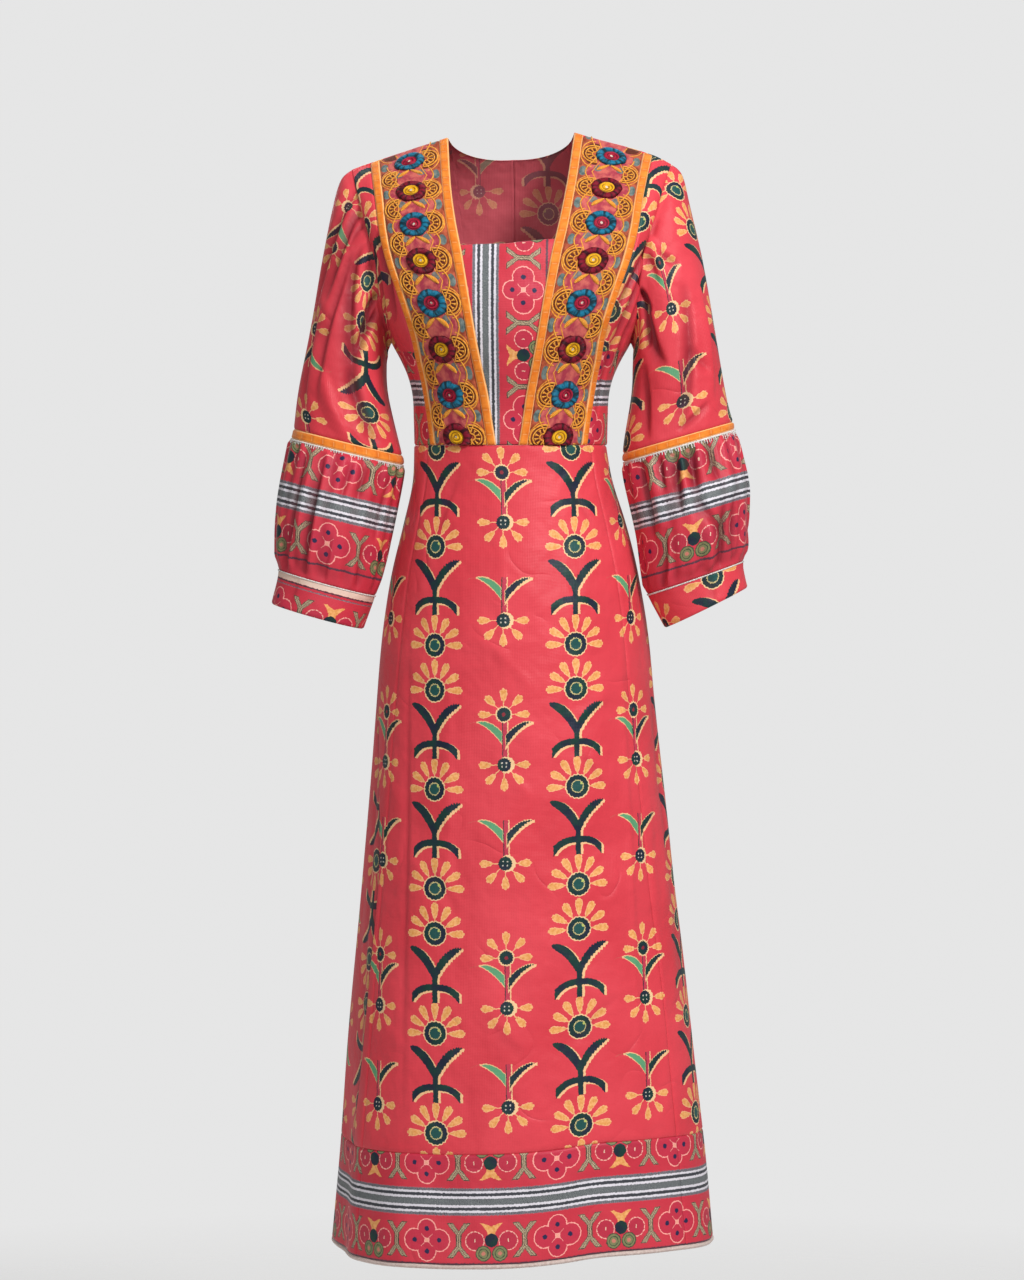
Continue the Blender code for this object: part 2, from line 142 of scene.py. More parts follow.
BACK = {
    "lane": FRONT["lane"],
    "edge_x": FRONT["edge_x"],
    "edge_y": [-8, -8, -8, -8, -8, -8, 22, 40, 46, 44, 34, 19, 0],
    "edge_z": FRONT["edge_z"],
    "mid_y": [88, 88, 90, 92, 94, 96, 98, 98, 95, 88, 74, 46, 0],
    "mid_z": [-358, -330, -300, -280, -262, -240, -210, -172, -132, -92, -52, -12, 25],
    "droop": FRONT["droop"],
}
SHOULDER = {
    "x": [-184, -160, -116, -72, 0, 72, 102, 135, 161, 184],
    "rise": [-3.8, -3.8, -3.8, -5.2, -2.6, 0, 1.6, 4.1, 4.9, 1.5],
}
BAND = {
    "lane": FRONT["lane"],
    "inner_x": [12.5, 17.0, 21.6, 25.5, 29, 33, 38, 44, 50.5, 58, 64, 68, 72.5],
    "outer_x": [89.5, 93, 97.5, 101, 105, 109, 116, 127, 139, 147, 152, 157, 162],
}
SKIRT = {
    "z": [-358, -400, -450, -500, -560, -660, -800, -950, -1110, -1273],
    "half_width": [110, 114.5, 127.5, 140, 149.5, 159.5, 173.5, 190, 206, 220.5],
    "front": [96, 102, 112, 121, 130, 141, 152, 164, 176, 186],
    "back": [96, 106, 122, 134, 142, 150, 160, 172, 184, 194],
    "swing": [0, 2.5, 4, 4.5, 5, 6, 8, 10, 12.5, 15],
}
RING_Y = -8.0
HANG = {
    "angle": [-180, -150, -110, -70, -48, -32, -19, -1, 14, 24, 37, 55, 68, 110, 150, 180],
    "drop": [0, 3, 7, 10, 8.2, 6, 5, 2.2, -1.8, -6, -7.1, -6.6, -5.5, -4, -1.5, 0],
}
FOLDS = {
    "angle": [-38, 20, -76, 66, 97, 124, 150, 176, -154, -128, -102],
    "depth": [9, -8, -9, 8, -8, 9, -8, 9, -9, 9, 7],
    "half_angle": [27, 30, 18, 20, 18, 18, 17, 17, 17, 17, 15],
    "start_z": [-720, -640, -640, -600, -560, -600, -520, -560, -520, -600, -640],
}
SLEEVE_LEFT = {
    "outer_x": [184, 195.5, 204.5, 216, 229, 242.5, 248, 250.5, 255, 266, 268.5, 264.5, 272.5],
    "outer_z": [-39, -54, -88, -150, -225, -294, -339, -350, -366, -424, -472.6, -500, -539],
    "inner_x": [137, 139, 140.5, 141.5, 142.5, 140, 124.5, 123.5, 124, 135.5, 144.5, 154.5, 168],
    "inner_z": [-240, -245, -250, -257, -268, -303.6, -369, -380.6, -398, -459, -499, -530, -568],
    "half_depth": [50, 52, 55, 58, 60, 58, 56, 56, 62, 66, 60, 50, 47],
    "centre_y": [-8, -8, -8, -8, -9, -11, -14, -15, -17, -22, -26, -29, -32],
}
SLEEVE_RIGHT = {
    "outer_x": [184, 195.5, 204.5, 219.5, 233, 246, 253.5, 255, 263.5, 272.5, 271, 265.5, 270.5],
    "outer_z": [-39, -52, -87, -150, -225, -300, -331.4, -340, -367, -415, -467, -490, -520],
    "inner_x": [137, 139, 140.5, 140, 139.5, 138, 128.5, 129.5, 131, 143, 151, 157, 177],
    "inner_z": [-240, -245, -250, -257, -268, -301, -367, -377, -398, -455, -507, -528, -566],
    "half_depth": [50, 52, 55, 58, 60, 58, 56, 56, 62, 66, 60, 50, 47],
    "centre_y": [-8, -8, -8, -8, -9, -11, -14, -15, -17, -22, -26, -29, -32],
}
ARMHOLE_RING, TRIM_RING, GATHER_RING, CUFF_RING, LAST_RING = 0, 6, 7, 11, 12

# A sleeve's first rings fade from the armhole's shape, and its head is tucked into the armhole until ring
# TUCK_FADES_BY. ARMHOLE_OUT is the way out of the right armhole.
ARMHOLE_FADES_BY = 4.0
ARMHOLE_TUCK = 2.6
TUCK_FADES_BY = 0.3
ARMHOLE_OUT = (0.974, 0.0, -0.228)

# The gathers of a lower sleeve are GATHER_HEIGHT high and softest at ring SOFT_RING.
GATHER_HEIGHT = 2.2
SOFT_RING = 9.2

# Where the prints' own zeros lie on the skirt: arc from the front's middle, and height.
PRINT_AT = {"skirt": (-91.0, -632.0), "hem_border": (46.0, BORDER_SEAM_Z - 52.3)}

# Where the prints lie on the bodice: the inset's stripes from its middle, the height of its first quatrefoil,
# the stripes of the other pieces above the waist, and the columns of the back from its seam.
INSET_STRIPES = -23.7
INSET_MOTIF_Z = -184.0
STRIPES_UP = 60.0
BACK_COLUMN = 41.5

# Where the prints lie on the sleeves. A column of 0 puts a large one, or a quatrefoil, on the sleeve's front.
# SLEEVE_TAKEN is the length of cloth for each length of sleeve, because the folds take some up.
SLEEVE_COLUMN = {"left": -21.0, "right": 78.0}
SLEEVE_TAKEN = {"left": 1.1, "right": 1.04}
SLEEVE_SLANT = {"left": 0.08, "right": 0.0}
SLEEVE_PRINT_Z = {"left": -168.0, "right": -42.0}
LOWER_COLUMN = {"left": 0.0, "right": 74.5}
LOWER_STRIPES = 0.58
CUFF_COLUMN = {"left": 55.5, "right": -20.0}
CUFF_BELOW = {"left": 42.0, "right": 30.0}

# Creases, as creased() takes them: from u and v, to u and v, half width, and height, below 0 for a trough.
# On the skirt v is the height, and on other pieces it is the distance from their lower end.
SKIRT_CREASES = [
    (-60, -392, -95, -470, 7, -1.4), (70, -400, 102, -452, 6, -1.4), (118, -640, 72, -668, 7, 1.5),
    (66, -690, 112, -742, 6, -1.4), (-20, -700, 30, -760, 9, 1.2), (-105, -820, -60, -880, 8, -1.2),
    (28, -905, 92, -960, 8, 1.4), (-40, -985, 12, -1040, 9, -1.2), (120, -980, 66, -1030, 7, -1.2),
    (-128, -560, -132, -1120, 6, -1.7), (138, -520, 150, -1120, 7, 1.8), (40, -1060, 96, -1115, 8, 1.2),
    (-10, -420, -4, -640, 8, 1.0), (-70, -600, -74, -900, 12, 1.4), (206, -560, 232, -1000, 9, -1.8),
    (178, -700, 190, -1120, 8, 1.5), (-196, -640, -222, -1100, 9, -1.8), (-40, -560, 36, -640, 8, 1.0),
]
BACK_CREASES = [
    (20, 12, 60, 60, 5, -1.1), (70, 4, 82, 90, 6, -1.3), (96, 190, 60, 120, 6, -1.6),
    (30, 150, 66, 210, 7, 1.0),
]
SIDE_FRONT_CREASES = {
    "left": [
        (8, 250, 30, 110, 8, -6.5), (20, 262, 46, 150, 8, -6.5), (2, 196, 16, 80, 7, -5.0),
        (34, 130, 40, 30, 7, -3.5),
    ],
    "right": [
        (44, 250, 18, 110, 8, -6.5), (30, 262, 6, 150, 8, -6.5), (50, 196, 34, 80, 7, -5.0),
        (16, 130, 10, 30, 7, -3.5),
    ],
}
SLEEVE_CREASES = {
    "left": {
        "sleeve": [
            (-24, 214, -28, 34, 9, -4.5), (-22, 252, 22, 50, 16, -8.0), (6, 275, 20, 190, 9, -6.0),
            (-8, 280, -18, 200, 9, 3.5), (48, 172, 12, 94, 10, -9.0), (62, 160, 26, 126, 7, -8.0),
            (60, 186, 30, 150, 7, -6.5), (-22, 76, 6, 0, 13, 5.0), (10, 88, 42, 2, 12, -6.5),
            (-54, 150, -50, 24, 8, -4.0), (140, 230, 172, 90, 12, -6.0), (-150, 200, -168, 60, 12, -6.0),
            (118, 150, 138, 40, 9, -5.0), (-46, 318, -44, 150, 13, -7.0), (-70, 300, -66, 120, 10, -6.0),
            (-22, 322, -34, 210, 8, -5.0),
        ],
        "sleeve_lower": [
            (-21, 154, -25, -6, 8, -8.5), (-48, 154, -51, -6, 8, -7.5), (-36, 150, -38, 30, 6, 2.5),
            (12, 146, 7, 92, 6, -4.5), (32, 146, 27, 104, 6, -4.0), (44, 66, 40, -4, 6, -3.5),
            (4, 60, 0, -4, 6, -3.5), (66, 146, 60, 60, 6, -4.0), (100, 140, 104, 10, 6, -5.0),
            (-120, 140, -124, 10, 6, -5.0), (150, 140, 146, 60, 6, -4.5), (-90, 140, -92, 20, 6, -5.0),
        ],
        "cuff": [(-30, 46, -34, 0, 7, -1.6)],
    },
    "right": {
        "sleeve": [
            (34, 168, 3, 4, 11, -5.5), (-14, 292, -8, 176, 12, -6.0), (12, 300, 6, 190, 10, 4.5),
            (-52, 178, -12, 84, 11, -9.0), (-62, 198, -30, 150, 8, -8.0), (-58, 160, -36, 112, 7, -6.5),
            (4, 216, 38, 188, 6, -4.5), (8, 230, 36, 252, 5, -4.0), (-42, 96, -36, 6, 9, -5.5),
            (54, 156, 42, 30, 10, 4.0), (0, 8, 36, 30, 6, -4.5), (20, 96, 44, 60, 7, -3.5),
            (-140, 230, -172, 90, 12, -6.0), (150, 200, 168, 60, 12, -6.0),
            (-118, 150, -138, 40, 9, -5.0),
        ],
        "sleeve_lower": [
            (-4, 154, -14, 78, 9, -9.5), (16, 154, 10, 96, 8, -7.0), (35, 154, 38, 100, 7, -6.5),
            (6, 92, 36, 44, 7, -5.5), (42, 78, 31, -6, 8, -8.0), (58, 88, 50, -2, 8, -7.5),
            (-50, 154, -52, 60, 7, -5.5), (-34, 70, -38, -6, 7, -5.5), (22, 60, 18, -4, 7, 3.0),
            (-24, 150, -28, 110, 6, -4.5), (-100, 140, -104, 10, 6, -5.0), (100, 140, 104, 10, 6, -5.0),
            (130, 140, 134, 10, 6, -5.0), (-150, 140, -146, 60, 6, -4.5),
        ],
        "cuff": [(20, 46, 12, 0, 7, -2.0)],
    },
}

SIDES = (("left", -1), ("right", 1))

# The floor and the camera, which stands level with the waist, CAMERA_TURN degrees to the viewer's right.
FLOOR_Z = -1650.0
FLOOR_REACH = 2600.0
CAMERA_AIM = (1.0, 0.0, -582.0)
CAMERA_DISTANCE = 5200.0
CAMERA_TURN = 2.4
CAMERA_LENS = 127.2


def grid(first, second):
    return np.meshgrid(first, second, indexing="ij")


def along(table, key, name, at):
    """A smooth curve through one column of a table: cubic Hermite pieces with the rows' mean slopes."""
    knots = np.asarray(table[key], float)
    values = np.asarray(table[name], float)
    if knots[0] > knots[-1]:
        knots, values = knots[::-1], values[::-1]
    at = np.clip(np.asarray(at, float), knots[0], knots[-1])
    chords = np.diff(values) / np.diff(knots)
    slopes = np.concatenate([chords[:1], (chords[1:] + chords[:-1]) / 2, chords[-1:]])
    flat = np.concatenate([[False], chords[1:] * chords[:-1] <= 0, [False]])
    slopes[flat] = 0.0
    row = np.clip(np.searchsorted(knots, at, side="right") - 1, 0, len(knots) - 2)
    step = knots[row + 1] - knots[row]
    t = (at - knots[row]) / step
    return (
        (2 * t**3 - 3 * t**2 + 1) * values[row]
        + (t**3 - 2 * t**2 + t) * step * slopes[row]
        + (-2 * t**3 + 3 * t**2) * values[row + 1]
        + (t**3 - t**2) * step * slopes[row + 1]
    )


def bodice_sheet(table, angle, lane):
    """Front or back of the bodice: x and y follow an ellipse from the edge to the middle, and z droops."""
    sine, cosine = np.sin(angle), np.cos(angle)
    edge_y = along(table, "lane", "edge_y", lane)
    mid_y = along(table, "lane", "mid_y", lane)
    edge_z = along(table, "lane", "edge_z", lane)
    mid_z = along(table, "lane", "mid_z", lane)
    x = along(table, "lane", "edge_x", lane) * sine
    y = edge_y + (mid_y - edge_y) * cosine
    z = mid_z + (edge_z - mid_z) * np.abs(sine) ** along(table, "lane", "droop", lane)
    fade = np.clip(lane * 2 - 1, 0, 1) ** 2
    return np.stack([x, y, z + along(SHOULDER, "x", "rise", x) * fade], axis=-1)


def bodice(angle, path):
    """The bodice over the shoulder: path 0 to 1 climbs the front, and 1 to 2 goes down the back."""
    front = bodice_sheet(FRONT, angle, np.minimum(path, 1.0))
    back = bodice_sheet(BACK, angle, np.minimum(2.0 - path, 1.0))
    return np.where((path <= 1.0)[..., None], front, back)


def skirt(angle, z):
    """The skirt: an ellipse at each height, with folds and an uneven hang that grow down to the hem."""
    half_width = along(SKIRT, "z", "half_width", z)
    front = along(SKIRT, "z", "front", z)
    back = along(SKIRT, "z", "back", z)
    swing = along(SKIRT, "z", "swing", z)
    out = np.zeros(np.broadcast(angle, z).shape)
    for at, depth, half, start in zip(FOLDS["angle"], FOLDS["depth"], FOLDS["half_angle"], FOLDS["start_z"]):
        away = (angle - math.radians(at) + math.pi) % (2 * math.pi) - math.pi
        share = np.clip(1 - np.abs(away) / math.radians(half), 0, 1)
        grown = np.clip((start - z) / (start - HEM_Z), 0, 1)
        out += depth * np.sin(share * math.pi / 2) ** 2 * grown**1.3
    depth = np.where(np.cos(angle) > 0, front, back)
    x = swing + (half_width + out) * np.sin(angle)
    y = RING_Y - (depth + out) * np.cos(angle)
    degrees = (np.degrees(angle) + 180) % 360 - 180
    fallen = np.clip((WAIST_Z - z) / (WAIST_Z - BORDER_SEAM_Z), 0, 1)
    hung = along(HANG, "angle", "drop", degrees) * fallen**1.5
    return np.stack([x, y, z - hung], axis=-1)


def ring_ellipse(table, side, angle, ring):
    """One sleeve ring: an ellipse whose axes are its outer-to-inner line and its depth."""
    rows = dict(table, ring=list(range(LAST_RING + 1)))

    def end(name):
        x, z = [along(rows, "ring", f"{name}_{axis}", ring) for axis in ("x", "z")]
        return np.stack([side * x, z], axis=-1)

    outer, inner = end("outer"), end("inner")
    centre, half = (outer + inner) / 2, (outer - inner) / 2
    flat = centre + half * np.cos(angle)[..., None]
    y = along(rows, "ring", "centre_y", ring) - along(rows, "ring", "half_depth", ring) * np.sin(angle)
    return np.stack([flat[..., 0], y, flat[..., 1]], axis=-1)


def armhole(side, angle):
    """The armhole: angle 0 is the shoulder tip, and a turn runs down the front edge and back up behind."""
    share = np.abs((angle + math.pi) % (2 * math.pi) - math.pi) / math.pi
    lane = 1 - (1 - UNDERARM_LANE) * share
    edge = np.full_like(lane, side * math.pi / 2)
    front = bodice_sheet(FRONT, edge, lane)
    back = bodice_sheet(BACK, edge, lane)
    in_front = (angle % (2 * math.pi)) <= math.pi
    return np.where(in_front[..., None], front, back)


def sleeve(table, side, angle, ring):
    """A sleeve: its first rings have the armhole's shape and fade to ellipses down the arm. Its head is
    tucked in by ARMHOLE_TUCK."""
    points = ring_ellipse(table, side, angle, ring)
    first = ring_ellipse(table, side, angle, np.zeros_like(ring))
    fade = np.clip(1 - ring / ARMHOLE_FADES_BY, 0, 1) ** 2
    points = points + fade[..., None] * (armhole(side, angle) - first)
    tuck = ARMHOLE_TUCK * np.clip(1 - ring / TUCK_FADES_BY, 0, 1)
    return points + np.array(ARMHOLE_OUT) * (side, 1, 1) * (CLOTH / 2 - tuck)[..., None]


def band_angle(side, share, lane):
    """The angle at a share of the way across an embroidered band, from its inner edge to its outer edge."""
    edge = along(FRONT, "lane", "edge_x", lane)
    inner = along(BAND, "lane", "inner_x", lane) / edge
    outer = along(BAND, "lane", "outer_x", lane) / edge
    by_width = np.arcsin(inner + (outer - inner) * share)
    by_angle = np.arcsin(inner) + (np.arcsin(outer) - np.arcsin(inner)) * share
    return side * (by_width * lane + by_angle * (1 - lane))


def normals(surface, a, b, step_a, step_b, low_b=-1e9, high_b=1e9):
    """Unit normals of a surface of two parameters, from central differences inside the second's limits."""
    across = surface(a + step_a, b) - surface(a - step_a, b)
    up = surface(a, np.minimum(b + step_b, high_b)) - surface(a, np.maximum(b - step_b, low_b))
    found = np.cross(across, up)
    return found / np.linalg.norm(found, axis=-1, keepdims=True)


def lengths_along(points, axis):
    """How far each point of a grid is along the surface from the first one on its line."""
    steps = np.linalg.norm(np.diff(points, axis=axis), axis=-1)
    start = np.zeros_like(np.take(steps, [0], axis=axis))
    return np.concatenate([start, np.cumsum(steps, axis=axis)], axis=axis)


def seam_places(count, roll):
    """Shares from 0 to 1 in even steps, with two more beside each end, where cloth rolls into its seam."""
    even = np.linspace(0, 1, count + 1)[1:-1]
    even = even[(even > roll * 1.5) & (even < 1 - roll * 1.5)]
    return np.concatenate([[0, roll * 0.35, roll], even, [1 - roll, 1 - roll * 0.35, 1]])


def creased(u, v, creases):
    """How far creases push the cloth out. Each runs straight from one point to another, swells between them
    as a half sine, and is a bell across: height * sin(pi * share)^0.7 * exp(-(distance / half_width)^2). On
    one side, the right where a crease runs down, it is STEEPER times as steep."""
    out = np.zeros_like(u)
    for from_u, from_v, to_u, to_v, half_width, height in creases:
        run_u, run_v = to_u - from_u, to_v - from_v
        length = math.hypot(run_u, run_v)
        share = ((u - from_u) * run_u + (v - from_v) * run_v) / length**2
        away = ((u - from_u) * run_v - (v - from_v) * run_u) / length
        swell = np.sin(math.pi * np.clip(share, 0, 1)) ** 0.7
        out += height * swell * np.exp(-((np.where(away > 0, 1.0, STEEPER) * away / half_width) ** 2))
    return out


def softness(u, v, height, seed):
    """The slight unevenness of hung cloth: five crossed sine waves, 70 to 240 mm long, added up."""
    chance = np.random.default_rng(seed)
    out = np.zeros_like(u)
    for _ in range(5):
        turn = chance.uniform(-0.7, 0.7)
        wave = chance.uniform(70, 240)
        phase = chance.uniform(0, 2 * math.pi)
        out += np.sin((u * math.cos(turn) + v * math.sin(turn)) * 2 * math.pi / wave + phase)
    return out * height / 3


def shell(name, middle, outward, uv, thickness, materials, out=0.0, closed=False, folds=0.0):
    """A closed cloth shell: a grid of points moved out and in along its normals and joined round the edge.

    middle, outward and uv are grids of columns by rows, and uv has one more column than a closed tube's
    points. The open edges roll into their seams. out lifts the shell. folds lift it further, and the mesh
    keeps how far in their troughs go, as a share of DEEP_FOLD, for a painted shade at their bottoms.
    """
    columns, rows = middle.shape[:2]
    seam = np.ones((columns, rows))
    for axis in (1,) if closed else (0, 1):
        far = lengths_along(middle, axis)
        edge = np.minimum(far, np.take(far, [-1], axis=axis) - far)
        seam = np.minimum(seam, 1 - (1 - np.clip(edge / SEAM_ROLL, 0, 1)) ** 2)
    lift = np.broadcast_to(out + folds, (columns, rows)) - SEAM_DIP * (1 - seam)
    # How far each fold goes in, as a share of DEEP_FOLD: the mask of the painted shade at fold bottoms.
    trough = np.clip(-np.broadcast_to(folds, (columns, rows)).reshape(-1) / DEEP_FOLD, 0, 1)
    inner = (middle + outward * (lift - thickness / 2)[..., None]).reshape(-1, 3)
    outer = (middle + outward * (lift + thickness * (seam - 0.5).clip(-0.2, 0.5))[..., None]).reshape(-1, 3)
    index = np.arange(columns * rows).reshape(columns, rows)
    if closed:
        index = np.concatenate([index, index[:1]])
    place = np.arange(uv.shape[0] * rows).reshape(-1, rows)
    count = columns * rows

    def strips(way):
        """The corners of the inner and outer faces, then of the rims, as indices into one grid."""
        low, high = way[:-1], way[1:]
        quads = np.stack([low[:, :-1], high[:, :-1], high[:, 1:], low[:, 1:]], axis=-1).reshape(-1, 4)
        return quads, low, high

    quads, low, high = strips(index)
    uv_quads, uv_low, uv_high = strips(place)
    faces, corners = [quads + count, quads[:, ::-1]], [uv_quads, uv_quads[:, ::-1]]
    for row, turned in ((0, True), (rows - 1, False)):
        rim = np.stack([low[:, row], low[:, row] + count, high[:, row] + count, high[:, row]], axis=-1)
        spots = np.stack([uv_low[:, row], uv_low[:, row], uv_high[:, row], uv_high[:, row]], axis=-1)
        faces.append(rim[:, ::-1] if turned else rim)
        corners.append(spots[:, ::-1] if turned else spots)
    if not closed:
        for column, turned in ((0, False), (columns - 1, True)):
            below, above = index[column, :-1], index[column, 1:]
            rim = np.stack([below, below + count, above + count, above], axis=-1)
            spot = place[column]
            spots = np.stack([spot[:-1], spot[:-1], spot[1:], spot[1:]], axis=-1)
            faces.append(rim[:, ::-1] if turned else rim)
            corners.append(spots[:, ::-1] if turned else spots)
    return mesh_piece(
        name, np.concatenate([inner, outer]), faces, materials,
        uv.reshape(-1, 2)[np.concatenate(corners).reshape(-1)],
        {"wrong_side": np.repeat([1.0, 0.0], count), "trough": np.concatenate([trough, trough])},
    )


def mesh_piece(name, points, faces, materials, corner_uv=None, values=None):
    """Puts points in millimetres and blocks of faces into a smooth mesh, with its UV map and point values."""
    mesh = bpy.data.meshes.new(name)
    mesh.from_pydata((points * MM).tolist(), [], [face for block in faces for face in block.tolist()])
    if corner_uv is not None:
        layer = mesh.uv_layers.new(name="cut")
        layer.data.foreach_set("uv", np.ascontiguousarray(corner_uv, np.float32).reshape(-1))
    for label, numbers in (values or {}).items():
        kept = mesh.attributes.new(label, "FLOAT", "POINT")
        kept.data.foreach_set("value", numbers.astype(np.float32))
    mesh.update()
    mesh.shade_smooth()
    for material in materials:
        mesh.materials.append(material)
    piece = bpy.data.objects.new(name, mesh)
    bpy.context.scene.collection.objects.link(piece)
    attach(piece, "root")
    return piece


def cut_of(middle, closed=False):
    """The flat cut that a grid of points is worth: its greatest width and length, and its area, in metres."""
    if closed:
        middle = np.concatenate([middle, middle[:1]])
    widths = lengths_along(middle, 0)[-1]
    lengths = lengths_along(middle, 1)[:, -1]
    across = np.diff(middle, axis=0)[:, :-1]
    down = np.diff(middle, axis=1)[:-1]
    area = np.linalg.norm(np.cross(across, down), axis=-1).sum()
    return (widths.max() * MM, lengths.max() * MM), area * MM * MM


def cloth_piece(name, node, slot, held, rests_on, middle, *shape, closed=False, with_pieces=(), **more):
    """A shell that stands for one solid, which it hides. It also works out the flat cut that the shell is
    worth.
    """
    piece = shell(name, middle, *shape, closed=closed, **more)
    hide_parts(node)
    flat, area = cut_of(middle, closed)
    flat = (flat[0], max(flat[1], LEAST_CUT))
    return piece


def linear(colour):
    """An sRGB hex colour as linear light with full alpha."""
    channels = [int(colour[i : i + 2], 16) / 255 for i in (0, 2, 4)]
    return (*[c / 12.92 if c <= 0.04045 else ((c + 0.055) / 1.055) ** 2.4 for c in channels], 1.0)


def node(tree, kind, inputs=None, **settings):
    """Adds a node, sets its settings, and gives each input that is named or numbered a value or a link."""
    made = tree.nodes.new(kind)
    for name, value in settings.items():
        setattr(made, name, value)
    for name, value in (inputs or {}).items():
        if isinstance(value, bpy.types.NodeSocket):
            tree.links.new(value, made.inputs[name])
        else:
            made.inputs[name].default_value = value
    return made


MATHS = {
    ast.Add: "ADD", ast.Sub: "SUBTRACT", ast.Mult: "MULTIPLY", ast.Div: "DIVIDE", ast.Pow: "POWER",
    ast.Lt: "LESS_THAN", ast.Gt: "GREATER_THAN", "min": "MINIMUM", "max": "MAXIMUM", "abs": "ABSOLUTE",
    "sin": "SINE", "cos": "COSINE", "sqrt": "SQRT", "exp": "EXPONENT", "turn": "ARCTAN2", "wrap": "WRAP",
    "swing": "PINGPONG", "inside": "MULTIPLY_ADD",
}
PRINT_EDGE = 0.35


def worked_out(tree, formulas, **known):
    """Turns lines such as "d = max(abs(x) - 4, y)" into Math nodes and gives every name's output or number.

    wrap(x, high, low) repeats x between two limits, swing(x, far) runs it to and fro from 0 to far,
    turn(a, b) is the angle of a over b, and inside(d) is 1 where d is over 0, with an edge PRINT_EDGE
    millimetres soft.
    """

    def value(part):
        if isinstance(part, ast.Constant):
            return float(part.value)
        if isinstance(part, ast.Name):
            return known[part.id]
        if isinstance(part, ast.UnaryOp):
            return -part.operand.value
        if isinstance(part, ast.BinOp):
            kind, sides = type(part.op), [part.left, part.right]
        elif isinstance(part, ast.Compare):
            kind, sides = type(part.ops[0]), [part.left, part.comparators[0]]
        else:
            kind, sides = part.func.id, part.args
        values = [value(side) for side in sides]
        if kind == "inside":
            values += [1 / PRINT_EDGE, 0.5]
        made = node(
            tree, "ShaderNodeMath", dict(enumerate(values)), operation=MATHS[kind], use_clamp=kind == "inside"
        )
        return made.outputs[0]

    for line in ast.parse(formulas).body:
        known[line.targets[0].id] = value(line.value)
    return known


# The colour of the painted shade at the bottom of a fold in the coral cloth, and of the painted shadow
# along the tuck of the left side's turned print.
FOLD_SHADE = "5A1422"

# The flower print repeats every 166 by 270. Columns 83 apart are large and small by turns, and the large
# motifs are printed a little wider than high. x is 0 on a large column and y is 0 at its first flower's
# middle.
FLOWER_PRINT = """
small = wrap(x, 124.5, -41.5) > 41.5
large = 1 - small
column = wrap(x, 41.5, -41.5) * (0.96 + 0.04 * small)

s = wrap(y, 35, -235)
up = s + 110 * (s < -76.5) + 110 * (s < -186.5)
t = wrap(y + 26.5, 36, -234)
second = t < -98
unit = t + 109.5 * second
lower = unit < -28
out = abs(unit + 28) - 28
shown = 1 - small * second * (1 - lower)

p = up + (out - up) * small
r = sqrt(column * column + p * p)
around = turn(column, p)
half = 0.2618 + 0.1309 * small
ray = wrap(around, half, 0 - half)
reach = min(max((r + 0.7 * cos(r * ray * 2.6) - 14 + small) / (20 - 4.5 * small), 0), 1)
blob = 6.1 * reach ** 0.7 * sqrt(1 - reach ** 5)
petal = max(blob, 0.5) - r * abs(ray)
fan = (abs(around) < 1.75 + 0.2 * small) * (r < 34.5 - 5 * small) * shown
petals = inside(petal) * fan
petal_heart = inside(petal - 0.8) * fan

scallop = 0.3 * sin(around * 17)
eye = inside(12.7 - 5 * small + scallop - r) * shown
aside = column - 2.6 * small * lower
eye_rim = inside(13.9 - 4.7 * small + scallop - sqrt(aside * aside + p * p)) * shown
hoop = large * inside(0.55 - abs(r - 6.7 - scallop))
pupil = inside(6.2 - r) * large
dot_x = abs(column) - 2.5
dot_y = abs(p) - 2.2
dots = small * lower * inside(0.85 - sqrt(dot_x * dot_x + dot_y * dot_y))
seed = small * (1 - lower) * shown * inside(2.1 - r)
glint_x = column - 4.6
glint_y = p - 3.4
glint = large * inside(1.5 - sqrt(glint_x * glint_x + glint_y * glint_y))

q = 0 - unit
width = abs(column)
right = column > 0
from_tip = 31 + 2.5 * right - width
leaf_mid = 8.6 + 0.021 * from_tip * from_tip
leaf_half = 6.6 * max((from_tip - 2) / 29, 0) ** 0.75
leaf_away = abs(q - leaf_mid)
leaf = inside(min(leaf_half - leaf_away - right * 0.9 * swing(column, 1.5), width - 2.4)) * small
lifted = abs(q - leaf_mid - 1.4 * right)
leaf_rim = inside(min(min(leaf_half + 1.1 + 0.5 * right - lifted, width - 1.7), from_tip)) * small
stalk_ends = 20.3 - abs(q - 28.3)
stalk_ink = inside(min(0.5 - abs(column + 1.5), stalk_ends)) * small
stalk_pale = inside(min(0.65 - abs(column - 4.5), stalk_ends)) * small
stalk_core = inside(min(2.9 - abs(column - 1.6), stalk_ends)) * small
"""

# The tree under a large flower: two leaves in a V, a stem, and a bar whose ends droop. a is across from its
# middle, and q is below the flower's middle.
TREE = """
side = abs(a)
blade_mid = 10 + 37 * exp(0 - side / 17)
jag = 1.2 * (a > 0) * swing(side, 1.5)
blade = min(9.4 * sqrt(max(1 - side / 31, 0)) + grown - abs(q - blade_mid) - jag, 31.4 - side)
stem = min(3 + grown - side, 20 - abs(q - 59.5))
droop = (side / 27) ** 3
arm = min(3.6 + grown + 2.2 * droop - abs(q - 59.5 - 11 * droop), 28 + grown - side)
tree = max(max(blade, stem), arm)
"""

# Trees grow under the first flowers of the large columns. q is below the flower's middle. The pale rim is the
# tree printed again, 2.3 aside and 1.5 lower, and a right leaf is inked and a left one green.
TREE_PLACES = """
q = 0 - up
rim_a = column - 2.3
rim_q = q - 1.5
"""
TREE_MASKS = """
planted = large * (s > -186.5) * (q > 6)
rims = max(max(inside(pale) * planted, leaf_rim), stalk_pale)
inks = max(max(inside(ink) * planted, leaf * right), stalk_ink)
green = leaf * (1 - right)
"""
